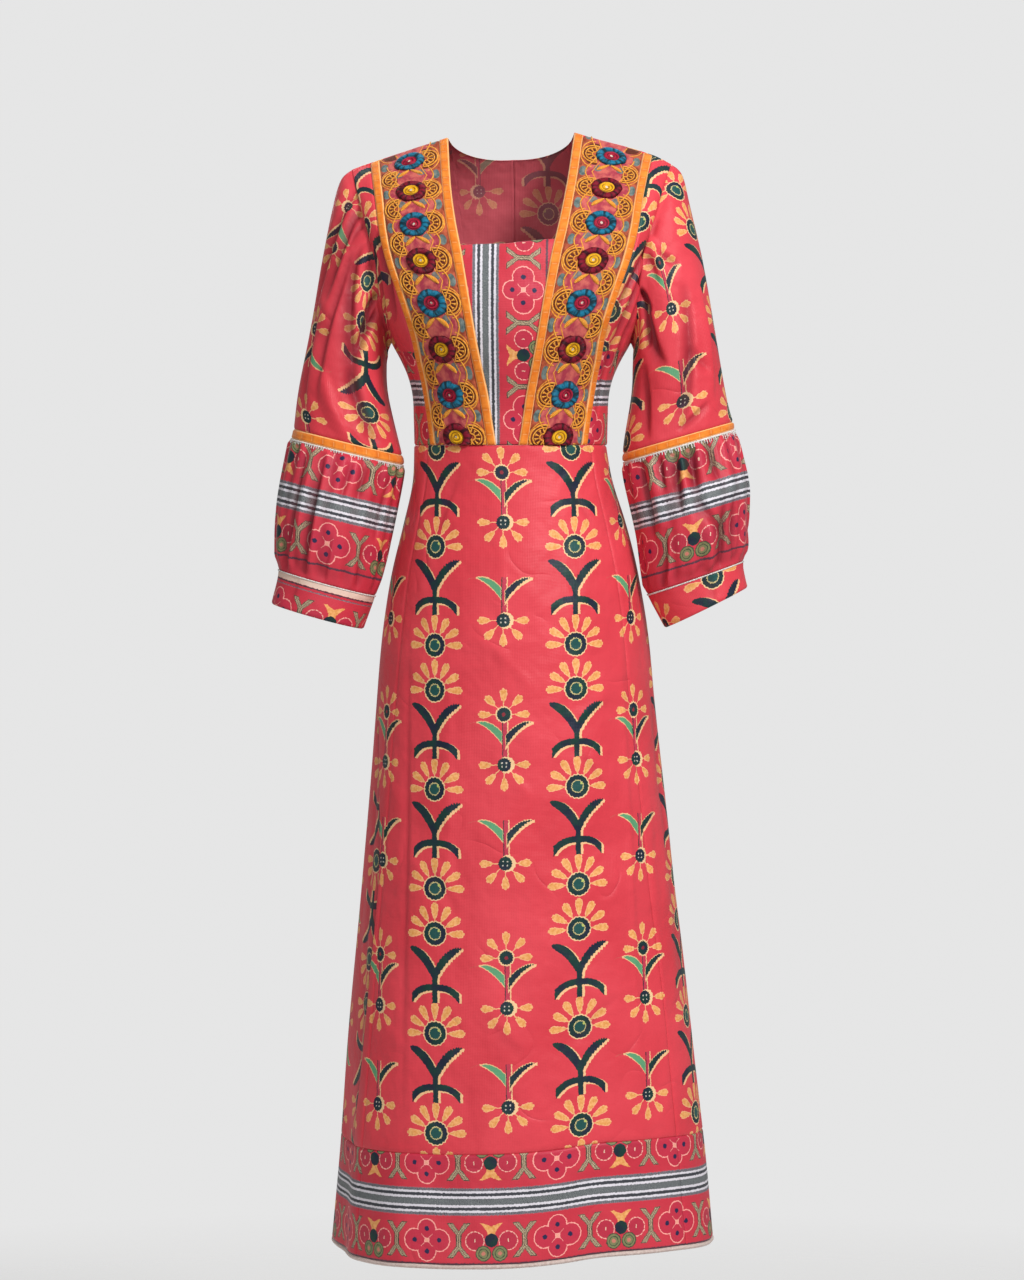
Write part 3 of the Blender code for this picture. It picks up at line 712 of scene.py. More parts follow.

# Beyond this line on the skirt's left side the cloth is sewn on upside down, with a soft tuck along the line
# drawn only as a painted shadow.
TURNED_PRINT = """
edge = -81 - 0.19 * sqrt((y + 198) * (y + 198) + 1600)
past = x < edge
tuck = 0.55 * past * exp((x - edge) / 5)
x = x + past * (0.0954 * y - 80 - 2 * x)
y = y - past * (304 + 2 * y)
"""

# The border print mirrors about its stripes, whose middle is y = 0, and repeats every 149. x is 0 at a
# quatrefoil.
BORDER_PRINT = """
a = swing(x, 74.5)
b = 74.5 - a
c = abs(a - 37.25)
stripe = abs(y)
row = stripe - 43
far = abs(row)
rr = row * row
r = sqrt(a * a + rr)

lobe_a = a - 14.5
lobe_b = far - 12.6
side_lobe = sqrt(lobe_a * lobe_a + rr)
end_lobe = sqrt(a * a + lobe_b * lobe_b)
foil = min(side_lobe - 12.3, end_lobe - 10.7)
foil_line = inside(0.6 - abs(foil))
foil_fill = inside(0 - foil)
foil_dots = inside(2.7 - min(side_lobe, end_lobe))
foil_heart = inside(1.8 - r)
foil_rays = inside(min(0.45 - abs(a - far), 2.8 - abs(r - 7)))

eye = inside(7.6 - sqrt(b * b + rr))
k = 0 - row
fan_half = 4.4 + 8.2 * max((k - 9) / 10, 0) ** 1.2
fan = inside(min(fan_half - b, min(k - 4, 15.4 + 0.42 * min(b, 9) - k)))
wing_b = b - 18.8
wing_r = sqrt(wing_b * wing_b + (row - 0.5) * (row - 0.5))
wing_fill = inside(10.2 - wing_r)
wing_line = inside(min(0.55 - abs(wing_r - 10.4), 0.7 * sin(turn(wing_b, row) * 14) + 0.55))
wing_mark = inside(min(0.6 - abs(wing_b), 1.8 - far))
curl_b = b - 9.3
curl_y = row - 14.6
curl_r = sqrt(curl_b * curl_b + curl_y * curl_y)
curl = inside(8.3 - curl_r)
curl_ink = inside(0.45 - abs(curl_r - 5.2)) + inside(0.5 - abs(curl_r - 8.3))
curl_heart = inside(2.4 - curl_r)

arm = max(far - 6.5, 0) * 0.78
twig = min(3 + 0.04 * far - abs(c - arm), 19.6 - far)
twig_fill = inside(twig)
twig_ink = inside(0.5 - abs(twig - 0.4)) * twig_fill
twig_hatch = inside(sin(abs(c - arm) * 4.4) + 0.8 * sin((c + far) * 4)) * twig_fill

teeth = 0.9 * swing(x, 0.8)
stripes = inside(14.6 + teeth - stripe)
white = inside(1.35 - abs(stripe - 4.9)) + inside(1.2 - abs(stripe - 10.8))
hatch = inside(3.3 - stripe) * (0.45 + 0.45 * sin(x * 4.6 + y * 2.2))
fringe = inside(0.5 * sin(x * 5.2)) * inside(2.4 - abs(stripe - 13))
edge_line = inside(0.9 + teeth - abs(stripe - 69.5))
"""


def painted(tree, ground, layers):
    """Lays colours over a ground, each through its own mask."""
    for mask, colour in layers:
        mixed = node(tree, "ShaderNodeMix", {0: mask, 6: ground, 7: colour}, data_type="RGBA")
        ground = mixed.outputs[2]
    return ground


def mottled(tree, place, scale, first, second, contrast=1.0):
    """A colour that drifts between two, in patches whose size is 1 / scale metres."""
    noise = node(
        tree, "ShaderNodeTexNoise", {"Vector": place, "Scale": scale, "Detail": 2.0}, noise_dimensions="2D"
    )
    share = worked_out(
        tree, "share = min(max((n - 0.5) * gain + 0.5, 0), 1)", n=noise.outputs["Fac"], gain=2.2 * contrast,
    )["share"]
    colours = {0: share, 6: linear(first), 7: linear(second)}
    return node(tree, "ShaderNodeMix", colours, data_type="RGBA").outputs[2]


def flower_colours(tree, x, y, ground, navy, gold):
    """The flower print's colours over its ground."""
    cut = worked_out(tree, FLOWER_PRINT, x=x, y=y)
    cut = worked_out(tree, TREE_PLACES, **cut)
    cut["ink"] = worked_out(tree, TREE, a=cut["column"], q=cut["q"], grown=0.0)["tree"]
    cut["pale"] = worked_out(tree, TREE, a=cut["rim_a"], q=cut["rim_q"], grown=0.5)["tree"]
    cut = worked_out(tree, TREE_MASKS, **cut)
    return painted(tree, ground, (
        (cut["stalk_core"], linear("BE3A50")),
        (cut["rims"], linear("EFBE8C")),
        (cut["inks"], navy),
        (cut["green"], linear("5E9C72")),
        (cut["petals"], linear("F0B684")),
        (cut["petal_heart"], gold),
        (cut["eye_rim"], linear("EFC796")),
        (cut["eye"], navy),
        (cut["pupil"], linear("1F4F4C")),
        (cut["hoop"], linear("CDBE84")),
        (cut["glint"], linear("B9C46A")),
        (cut["seed"], linear("8A2A36")),
        (cut["dots"], linear("C9C3B4")),
    ))


def border_colours(tree, x, y, ground, navy, gold):
    """The border print's colours over its ground."""
    cut = worked_out(tree, BORDER_PRINT, x=x, y=y)
    return painted(tree, ground, (
        (cut["foil_fill"], linear("C23248")),
        (cut["wing_fill"], linear("B93046")),
        (cut["foil_line"], linear("F6A79C")),
        (cut["wing_line"], linear("F2B3A4")),
        (cut["foil_dots"], linear("27284A")),
        (cut["foil_rays"], linear("EE9C92")),
        (cut["foil_heart"], linear("EBA48C")),
        (cut["wing_mark"], linear("E9C7AE")),
        (cut["curl"], linear("7E8058")),
        (cut["curl_ink"], linear("3A4A3A")),
        (cut["curl_heart"], linear("C77C6A")),
        (cut["fan"], gold),
        (cut["eye"], navy),
        (cut["twig_fill"], linear("D2BC98")),
        (cut["twig_hatch"], linear("584A40")),
        (cut["twig_ink"], linear("3E3230")),
        (cut["edge_line"], linear("5A3A48")),
        (cut["stripes"], linear("3E4046")),
        (cut["hatch"], linear("8A9090")),
        (cut["fringe"], linear("8A868E")),
        (cut["white"], linear("DAD6DE")),
    ))


def cloth_shader(material, colour, height, distance, roughness, sheen=0.0):
    """Finishes a cloth: a colour, a bump of some height in metres, a roughness and a soft sheen."""
    tree = material.node_tree
    shader = tree.nodes["Principled BSDF"]
    shader.inputs["Roughness"].default_value = roughness
    shader.inputs["Sheen Weight"].default_value = sheen
    shader.inputs["Sheen Roughness"].default_value = 0.4
    shader.inputs["Specular IOR Level"].default_value = 0.22
    bump = node(tree, "ShaderNodeBump", {"Height": height, "Distance": distance, "Strength": 1.0})
    tree.links.new(colour, shader.inputs["Base Color"])
    tree.links.new(bump.outputs[0], shader.inputs["Normal"])


def new_material(name):
    material = bpy.data.materials.new(name)
    material.use_nodes = True
    return material


def cut_place(tree):
    """The place on the flat cloth: its vector, and its x and y in metres."""
    place = node(tree, "ShaderNodeUVMap", uv_map="cut").outputs[0]
    spot = node(tree, "ShaderNodeSeparateXYZ", {0: place})
    return place, spot.outputs[0], spot.outputs[1]


def printed_cotton(name, prints, ground="D23B47", lit="DE4652"):
    """Block-printed cotton satin: a coral ground with a slight lustre, soft creases and inks that wander at
    the edges. prints is "flowers", "turned" for the left side's, "border", "both" for cloth whose border lies
    below its flowers, or "selvedge" for border print below a woven cream stripe.

    The wrong side, seen down the neck, is paler, and folds get a painted shade at the bottom. The slub is
    drawn at 1.6, coarser than the real 0.3, to show.
    """
    material = new_material(name)
    tree = material.node_tree
    place, u, v = cut_place(tree)
    wander, lines, folds = [
        node(
            tree, "ShaderNodeTexNoise",
            {"Vector": place, "Scale": scale, "Detail": detail, "Roughness": rough}, noise_dimensions="2D",
        ).outputs
        for scale, detail, rough in ((420.0, 1.0, 0.5), (11.0, 1.0, 0.5), (15.0, 3.0, 0.45))
    ]
    shift = node(tree, "ShaderNodeSeparateColor", {0: wander["Color"]})
    at = worked_out(
        tree, "x = u * 1000 + (red - 0.5) * 1.7\ny = v * 1000 + (green - 0.5) * 1.7",
        u=u, v=v, red=shift.outputs[0], green=shift.outputs[1],
    )
    inks = (
        mottled(tree, place, 9.0, ground, lit),
        mottled(tree, place, 60.0, "1E2638", "183A34", 1.6),
        mottled(tree, place, 300.0, "DE9650", "EFB070", 1.3),
    )
    if prints == "turned":
        at = worked_out(tree, TURNED_PRINT, **at)
    if prints in ("flowers", "turned"):
        colour = flower_colours(tree, at["x"], at["y"], *inks)
    else:
        colour = border_colours(tree, at["x"], at["y"], *inks)
    # The turned print's tuck is a soft painted shadow along its line.
    if prints == "turned":
        colour = painted(tree, colour, ((at["tuck"], linear(FOLD_SHADE)),))
    if prints == "both":
        over = worked_out(tree, "flowers = y > 51\nraised = y - 51", y=at["y"])
        high = flower_colours(tree, at["x"], over["raised"], *inks)
        colour = painted(tree, colour, ((over["flowers"], high),))
    if prints == "selvedge":
        woven = worked_out(
            tree,
            """
bare = inside(y + 14)
strip = inside(2.4 - abs(y - 2))
cream = inside(4 - abs(y + 5.5))
edge = inside(0.6 + 0.5 * swing(x, 0.8) - abs(y + 10.6))
""", x=at["x"], y=at["y"],
        )
        colour = painted(tree, colour, (
            (woven["bare"], inks[0]),
            (woven["strip"], linear("A62A50")),
            (woven["cream"], linear("E3C4B4")),
            (woven["edge"], linear("4A3A44")),
        ))
    wrong, trough = [
        node(tree, "ShaderNodeAttribute", attribute_name=label).outputs["Fac"]
        for label in ("wrong_side", "trough")
    ]
    # The wrong side is paler, and fold bottoms get a painted shade.
    paler_side_and_painted_shade = worked_out(tree, "back = w * 0.5\nshade = t * 0.7", w=wrong, t=trough)
    colour = painted(tree, colour, ((paler_side_and_painted_shade["back"], linear("C9727C")), (paler_side_and_painted_shade["shade"], linear(FOLD_SHADE))))
    height = worked_out(
        tree,
        "h = n - 0.12 * exp(0 - abs(m - 0.5) * 38) * min(max((n - 0.5) * 8, 0), 1)"
        " + 0.005 * sin(v * 3900 + 2 * sin(u * 160)) + 0.005 * sin(u * 3300)",
        n=folds["Fac"], m=lines["Fac"], u=u, v=v,
    )["h"]
    cloth_shader(material, colour, height, 0.007, 0.42, 0.02)
    return material


def ribbon_material(name, colour, lit, half_width):
    """Woven grosgrain ribbon: ribs across it 1.4 apart, matt, with paler edges and a tack stitch every 14."""
    material = new_material(name)
    tree = material.node_tree
    place, u, v = cut_place(tree)
    ground = mottled(tree, place, 90.0, colour, lit)
    # shade is a painted shade in the pucker on each side of a tack stitch.
    cut = worked_out(
        tree,
        """
x = abs(u * 1000)
y = v * 1000
far = abs(wrap(y + 2.4 * sin(v * 61), 7, -7))
edge = inside(0.6 - abs(x - half))
tack = inside(0.4 - far) * (x < half - 2.2) * 0.35
shade = inside(1.2 - abs(far - 1.2)) * 0.14
h = 0.25 * sin(v * 4488) + 0.9 * min(far / 2.6, 1)
""", u=u, v=v, half=half_width - 0.7,
    )
    colour = painted(tree, ground, (
        (cut["shade"], linear("A8561C")),
        (cut["edge"], linear("F3B878")),
        (cut["tack"], linear("F6C68C")),
    ))
    cloth_shader(material, colour, cut["h"], 0.0003, 0.6, 0.2)
    return material


def embroidered_net(name):
    """Net worked all over in gold chain stitch on rose-brown, with mauve silk patches between scalloped
    outlines and grey-teal ones by the ribbons. Across the band, x is 0 in its middle and over 0 outwards. Up
    it, one rose follows another every ROSE_STEP."""
    material = new_material(name)
    tree = material.node_tree
    place, u, v = cut_place(tree)
    cut = worked_out(
        tree,
        """
x = u * 1000
t = v * 1000 / step
out = 2 * (x > 0) - 1
wave = cos(t * 6.2832)
far = abs(x) - scallop - scallop_swing * wave * out
mauve = inside(0 - far - 1.2) * 0.9
up = wrap(t + 0.5 - 0.5 * (x > 0), 0.5, -0.5) * step
fan_x = (abs(x) - fan_place) / fan_wider
fan_up = wrap(t + 0.5 * (x > 0), 0.5, -0.5) * step
fan_r = sqrt(fan_x * fan_x + fan_up * fan_up)
fan = inside(13 - fan_r) * (fan_x > -3) * inside(fan_r - 3.4)
rings = inside(0.6 - abs(fan_r - 15.6)) * (fan_x > 2)
corner_x = (abs(x) - 29.5) / 4.2
corner_y = up / 6.5
corner = inside(3 - 3 * sqrt(corner_x * corner_x + corner_y * corner_y))
leaf_up = wrap(t + 0.38, 0.5, -0.5) * step
leaf_x = (abs(x) - 13) / 5
leaf_y = leaf_up / 4.2
leaf = inside(3 - 3 * sqrt(leaf_x * leaf_x + leaf_y * leaf_y)) * 0.9
seam_x = abs(wrap(t, 0.5, -0.5)) * step
petal_line = inside(0.7 - abs(abs(x) - 8 - 0.5 * seam_x)) * mauve
h = rings + 0.25 * sin(x * 3.6 + 2 * sin(v * 900)) + 0.8 * petal_line
""", u=u, v=v, step=ROSE_STEP, scallop=SCALLOP_PLACE, scallop_swing=SCALLOP_SWING, fan_place=FAN_PLACE,
        fan_wider=FAN_WIDER,
    )
    ground = mottled(tree, place, 160.0, "8A3A24", "BA5A3C", 1.5)
    silk = mottled(tree, place, 110.0, "A6324A", "D0665E", 1.6)
    gold = mottled(tree, place, 260.0, "D98226", "F2A640", 1.2)
    teal = mottled(tree, place, 200.0, "4C5F60", "7A8580", 1.2)
    colour = painted(tree, ground, (
        (cut["mauve"], silk),
        (cut["fan"], linear("5E2414")),
        (cut["leaf"], teal),
        (cut["corner"], teal),
        (cut["rings"], gold),
        (cut["petal_line"], gold),
    ))
    cloth_shader(material, colour, cut["h"], 0.0005, 0.62, 0.15)
    return material


def wound_silk(name, ring, ring_shade, heart, heart_shade):
    """Satin-stitched silk wound round: threads run out from the middle in the ring, and along the turn in the
    heart. They are drawn 1 apart, coarser than the real 0.4, to show."""
    material = new_material(name)
    tree = material.node_tree
    _, u, v = cut_place(tree)
    cut = worked_out(
        tree,
        """
x = u * 1000
y = v * 1000
r = sqrt(x * x + y * y)
around = turn(x, y)
spiral = (0.5 + 0.5 * cos(r * ridge - around)) ** 0.4
heart = inside(8.5 - r)
bead = inside(1.5 - r)
deep = max(min(max(1 - (r - 8.2) / 2.8, 0), 1), min(max((r - 15) / 3, 0), 1)) * 0.8
thread = sin(around * 72) * (1 - heart) + sin(r * 6.3 + around * 3) * heart
h = 0.5 + 0.5 * thread
flat = around * 0.006
long = r * 0.00015
""", u=u, v=v, ridge=RIDGE_TURN,
    )
    strands = node(tree, "ShaderNodeCombineXYZ", {0: cut["flat"], 1: cut["long"]}).outputs[0]
    silk = mottled(tree, strands, 420.0, ring_shade, ring, 2.2)
    # Painted shade: the ring's inner and outer edges darken to ring_shade where the ring slopes down.
    silk = painted(tree, silk, ((cut["deep"], linear(ring_shade)),))
    # The heart's spiral groove is heart_shade between lighter ridges: a darker thread, and painted shade in
    # the groove.
    middle = painted(tree, linear(heart_shade), (
        (cut["spiral"], linear(heart)),
        (cut["bead"], linear("E4D8C4")),
    ))
    cloth_shader(material, painted(tree, silk, ((cut["heart"], middle),)), cut["h"], 0.0003, 0.46)
    return material


def thread_material(name, colour, lit):
    """Couched metallic-gold or plain thread: slanted plies 1.5 apart, with a soft gloss."""
    material = new_material(name)
    tree = material.node_tree
    place, u, _ = cut_place(tree)
    height = worked_out(tree, "h = sin(u * 4200)", u=u)["h"]
    cloth_shader(material, mottled(tree, place, 300.0, colour, lit, 1.2), height, 0.0002, 0.42, 0.1)
    return material


def facing_out(points, faces):
    """Turns every face round if they hold a negative volume: the sum over triangles of a . (b x c)."""
    total = 0.0
    for block in faces:
        for far in range(1, block.shape[1] - 1):
            turned = np.cross(points[block[:, far]], points[block[:, far + 1]])
            total += (points[block[:, 0]] * turned).sum()
    return faces if total > 0 else [block[:, ::-1] for block in faces]


def cords_on(place, x, y, half_width, height, lift=0.0):
    """Stitched cords on a surface, as one set of points, faces and flat places.

    Each row of x and y is the path of one cord, in millimetres on the surface that place puts in space. Its
    cross section is an ellipse of CORD_SIDES points, half_width and height from its middle, which lies lift
    above the surface, and both ends are closed.
    """
    lines, count = x.shape
    run_x, run_y = np.gradient(x, axis=1), np.gradient(y, axis=1)
    run = np.hypot(run_x, run_y)
    turn = np.linspace(0, 2 * math.pi, CORD_SIDES + 1)[:-1]
    wide = np.broadcast_to(half_width, x.shape)[..., None] * np.cos(turn)
    high = np.broadcast_to(height, x.shape)[..., None] * np.sin(turn) + lift
    wide_x, wide_y = (run_y / run)[..., None] * wide, (run_x / run)[..., None] * wide
    points, outward = place(x[..., None] - wide_x, y[..., None] + wide_y)
    points = (points + outward * high[..., None]).reshape(-1, 3)
    index = np.arange(lines * count * CORD_SIDES).reshape(lines, count, CORD_SIDES)
    beside = np.roll(index, -1, axis=2)
    walls = np.stack([index[:, :-1], beside[:, :-1], beside[:, 1:], index[:, 1:]], axis=-1).reshape(-1, 4)
    half = CORD_SIDES // 2
    first, last = index[:, 0], index[:, -1]
    ends = [first[:, half::-1], first[:, [0, *range(CORD_SIDES - 1, half - 1, -1)]]]
    ends += [last[:, : half + 1], last[:, [*range(half, CORD_SIDES), 0]]]
    steps = np.hypot(np.diff(x), np.diff(y))
    far = np.concatenate([np.zeros((lines, 1)), np.cumsum(steps, axis=1)], axis=1)
    flat = np.stack(np.broadcast_arrays(far[..., None], turn), axis=-1).reshape(-1, 2)
    return points, [walls] + ends, flat * MM


def joined(name, parts, material):
    """Joins parts, each its points, faces and flat places, into one piece that faces outwards."""
    points, blocks, flat = [], [], []
    count = 0
    for part_points, part_faces, part_flat in parts:
        blocks += [block + count for block in facing_out(part_points, part_faces)]
        points.append(part_points)
        flat.append(part_flat)
        count += len(part_points)
    places = np.concatenate(flat)
    corners = np.concatenate([block.reshape(-1) for block in blocks])
    piece = mesh_piece(name, np.concatenate(points), blocks, [material], places[corners])
    return piece


def make_skirt(print_cloth, left_cloth, border_cloth, binding):
    """Four panels, a border of four strips below them, and a binding round the hem.

    The print runs on round both side seams. On the left panel it ends at the line of TURNED_PRINT.
    """
    panels = (
        ("front", -SIDE_SEAM, SIDE_SEAM, 0.0),
        ("right", SIDE_SEAM, BACK_SEAM, 0.0),
        ("back", BACK_SEAM, 360 - BACK_SEAM, 180.0),
        ("left", -BACK_SEAM, -SIDE_SEAM, 0.0),
    )
    round_all = np.arange(-180.0, 241.0)
    for word, first, last, zero in panels:
        step = 1.05 if word == "front" else 1.8
        degrees = first + (last - first) * seam_places(round((last - first) / step), 0.008)
        for part, low, high, count, cloth in (
            ("skirt", BORDER_SEAM_Z, WAIST_Z, 230, print_cloth),
            ("hem_border", HEM_Z + BINDING_HEIGHT, BORDER_SEAM_Z, 30, border_cloth),
        ):
            heights = low + (high - low) * seam_places(count, SEAM_ROLL / (high - low))
            angle, z = grid(np.radians(degrees), heights)
            middle = skirt(angle, z)
            outward = normals(skirt, angle, z, 0.01, 2.0)
            far = lengths_along(skirt(*grid(np.radians(round_all), heights)), 0)
            u = np.stack([
                np.interp(degrees, round_all, row) - np.interp(zero, round_all, row) for row in far.T
            ], axis=1)
            at_u, at_z = PRINT_AT[part]
            x, y = u - at_u, z - at_z
            cloth_piece(
                f"{part}_{word}_cloth", f"{part}_{word}", COTTON, "hung",
                f"skirt_{word}", middle, outward, np.stack([x, y], axis=-1) * MM, CLOTH,
                [left_cloth if (part, word) == ("skirt", "left") else cloth],
                out=softness(u, z, 1.0, 5), folds=creased(u, z, SKIRT_CREASES),
            )
    degrees = np.linspace(0, 360, 181)[:-1]
    angle, z = grid(np.radians(degrees), np.linspace(HEM_Z, HEM_Z + BINDING_HEIGHT, 9))
    middle = skirt(angle, z)
    outward = normals(skirt, angle, z, 0.01, 2.0)
    u = lengths_along(np.concatenate([middle, middle[:1]]), 0)
    uv = np.stack([u, np.concatenate([z, z[:1]]) - HEM_Z], axis=-1) * MM
    cloth_piece(
        "hem_binding_cloth", "hem_binding", "cream_binding", "hung", "hem_border_front", middle, outward, uv,
        FOLDED_CLOTH, [binding], closed=True,
    )


def band_placer(side):
    """Returns two functions. The first puts x across an embroidered band and t, counted in roses up it, in
    space with the way out there. The second gives the millimetres from one rose to the next at t."""
    places = np.linspace(-0.6, 7.6, 400)
    lanes = np.clip(along(ROSES, "place", "lane", places), BAND_END, 1 - BAND_END)
    edges = [
        bodice(band_angle(side, np.full_like(lanes, share), lanes), lanes) for share in (0.0, 0.5, 1.0)
    ]
    widths = np.linalg.norm(edges[2] - edges[0], axis=-1)
    steps = np.linalg.norm(np.gradient(edges[1], places, axis=0), axis=-1)

    def place(x, t):
        lane = np.clip(along(ROSES, "place", "lane", t), BAND_END, 1 - BAND_END)
        angle = band_angle(side, 0.5 + x / np.interp(t, places, widths), lane)
        return bodice(angle, lane), normals(bodice, angle, lane, 0.004, 0.012, low_b=0.0, high_b=2.0)

    def rose_step(t):
        return np.interp(t, places, np.maximum(steps, 20.0))

    return place, rose_step


def roses(place, rose_step, at, seed):
    """Wound roses as one set of points, faces and flat places.

    Each is a ring sqrt(1 - ((r - ROSE_RING) / ROSE_RING_HALF)^2) * ROSE_HEIGHT high, uneven in five soft
    lobes, round a heart whose ridge winds inwards. Its base is closed under the band's face.
    """
    chance = np.random.default_rng(seed)
    spun = chance.uniform(0, 2 * math.pi, len(at))[:, None, None]
    share = np.linspace(0, 1, 22)[1:, None]
    around = np.linspace(0, 2 * math.pi, 49)[:-1]
    r = share * ROSE_RADIUS * (1 + 0.035 * np.sin(5 * around + spun) + 0.02 * np.sin(11 * around + 2 * spun))
    ring = ROSE_HEIGHT * np.sqrt(np.clip(1 - ((r - ROSE_RING) / ROSE_RING_HALF) ** 2, 0, 1))
    ring = ring * (1 + 0.06 * np.sin(5 * around + spun))
    ridge = HEART_HEIGHT + RIDGE_HEIGHT * np.cos(r * RIDGE_TURN - around) * np.clip(r / 2, 0, 1)
    height = np.maximum(ring, ridge * np.clip((HEART_RADIUS - r) / 1.2, 0, 1))
    x, y = r * np.cos(around), r * np.sin(around)
    at = np.asarray(at, float)[:, None, None]
    points, outward = place(x * ROSE_WIDER, at + y * ROSE_LOWER / rose_step(at))
    points = points + outward * (height + BAND_CLOTH / 2 - ROSE_SUNK)[..., None]
    poles, up = place(np.zeros_like(at), at)
    top = poles + up * (BAND_CLOTH / 2 + ROSE_TOP)
    base = poles - up * ROSE_SUNK
    count, rings, sides = r.shape
    walls = np.arange(points.size // 3).reshape(count, rings, sides)
    beside = np.roll(walls, -1, axis=2)
    quads = np.stack([walls[:, :-1], beside[:, :-1], beside[:, 1:], walls[:, 1:]], axis=-1).reshape(-1, 4)
    first = walls.size
    tops = np.broadcast_to(first + np.arange(count)[:, None], (count, sides))
    inner = np.stack([tops, beside[:, 0], walls[:, 0]], axis=-1).reshape(-1, 3)
    outer = np.stack([tops + count, walls[:, -1], beside[:, -1]], axis=-1).reshape(-1, 3)
    flat = np.concatenate([np.stack([x, y], axis=-1).reshape(-1, 2), np.zeros((2 * count, 2))])
    every = np.concatenate([points.reshape(-1, 3), top.reshape(-1, 3), base.reshape(-1, 3)])
    return every, [quads, inner, outer], flat * MM


def gold_work(place, rose_step):
    """The raised gold outlines of one band: fans of arcs and rays, pairs of leaves, and the wavy lines that
    part the patches. On the inner side fans lie beside the roses, and on the outer side between them."""

    def stitched(at, x, y, half_width, height):
        at = np.asarray(at, float)[:, None]
        return cords_on(
            lambda across, up: place(across, at[..., None] + up / rose_step(at[..., None])),
            x, y, half_width, height, lift=BAND_CLOTH / 2 + 0.1,
        )

    # An arc is a radius, how far it reaches each way in degrees, and half its width. A ray is an angle, where
    # it starts and ends from the fan's middle, and how much it widens. The outermost rays close the fan.
    arcs = ((14.0, 102, 1.0), (10.6, 98, 0.85), (3.6, 94, 0.85))
    rays = [(degrees, 4.8, 9.0, 1.2) for degrees in (-56, -18, 18, 56)]
    rays = [(-102, 3.6, 14.0, 0.1), *rays, (102, 3.6, 14.0, 0.1)]
    parts = []
    for out, stations in ((-1, np.arange(0, 8) * 1.0), (1, np.arange(0, 7) + 0.5)):
        count = len(stations)
        for radius, reach, wide in arcs:
            way = np.broadcast_to(np.radians(np.linspace(-reach, reach, 19)), (count, 19))
            x = out * (FAN_PLACE + radius * np.cos(way) * FAN_WIDER)
            parts.append(stitched(stations, x, radius * np.sin(way), wide, 0.9))
        for degrees, low, high, wide in rays:
            radius = np.broadcast_to(np.linspace(low, high, 7), (count, 7))
            swell = 0.7 + wide * np.linspace(0, 1, 7) ** 3
            x = out * (FAN_PLACE + radius * math.cos(math.radians(degrees)) * FAN_WIDER)
            parts.append(stitched(stations, x, radius * math.sin(math.radians(degrees)), swell, 0.75))
        sweep = np.linspace(-0.5, 0.5, 25)
        steps = rose_step(stations[:, None])
        x = out * (SCALLOP_PLACE - SCALLOP_SWING * np.cos(2 * math.pi * sweep)) * np.ones((count, 1))
        parts.append(stitched(stations, x, sweep * steps, 0.85, 0.8))
    roots = np.arange(1, 8) * 1.0
    share = np.linspace(0, 1, 11)
    for out in (-1, 1):
        x = out * (0.8 + 13.2 * share + 1.6 * np.sin(math.pi * share)) * np.ones((len(roots), 1))
        y = (-16.5 - 11.0 * share) * np.ones((len(roots), 1))
        parts.append(stitched(roots, x, y, 0.5 + 2.3 * np.sin(math.pi * share) ** 0.7, 1.4))
    return parts


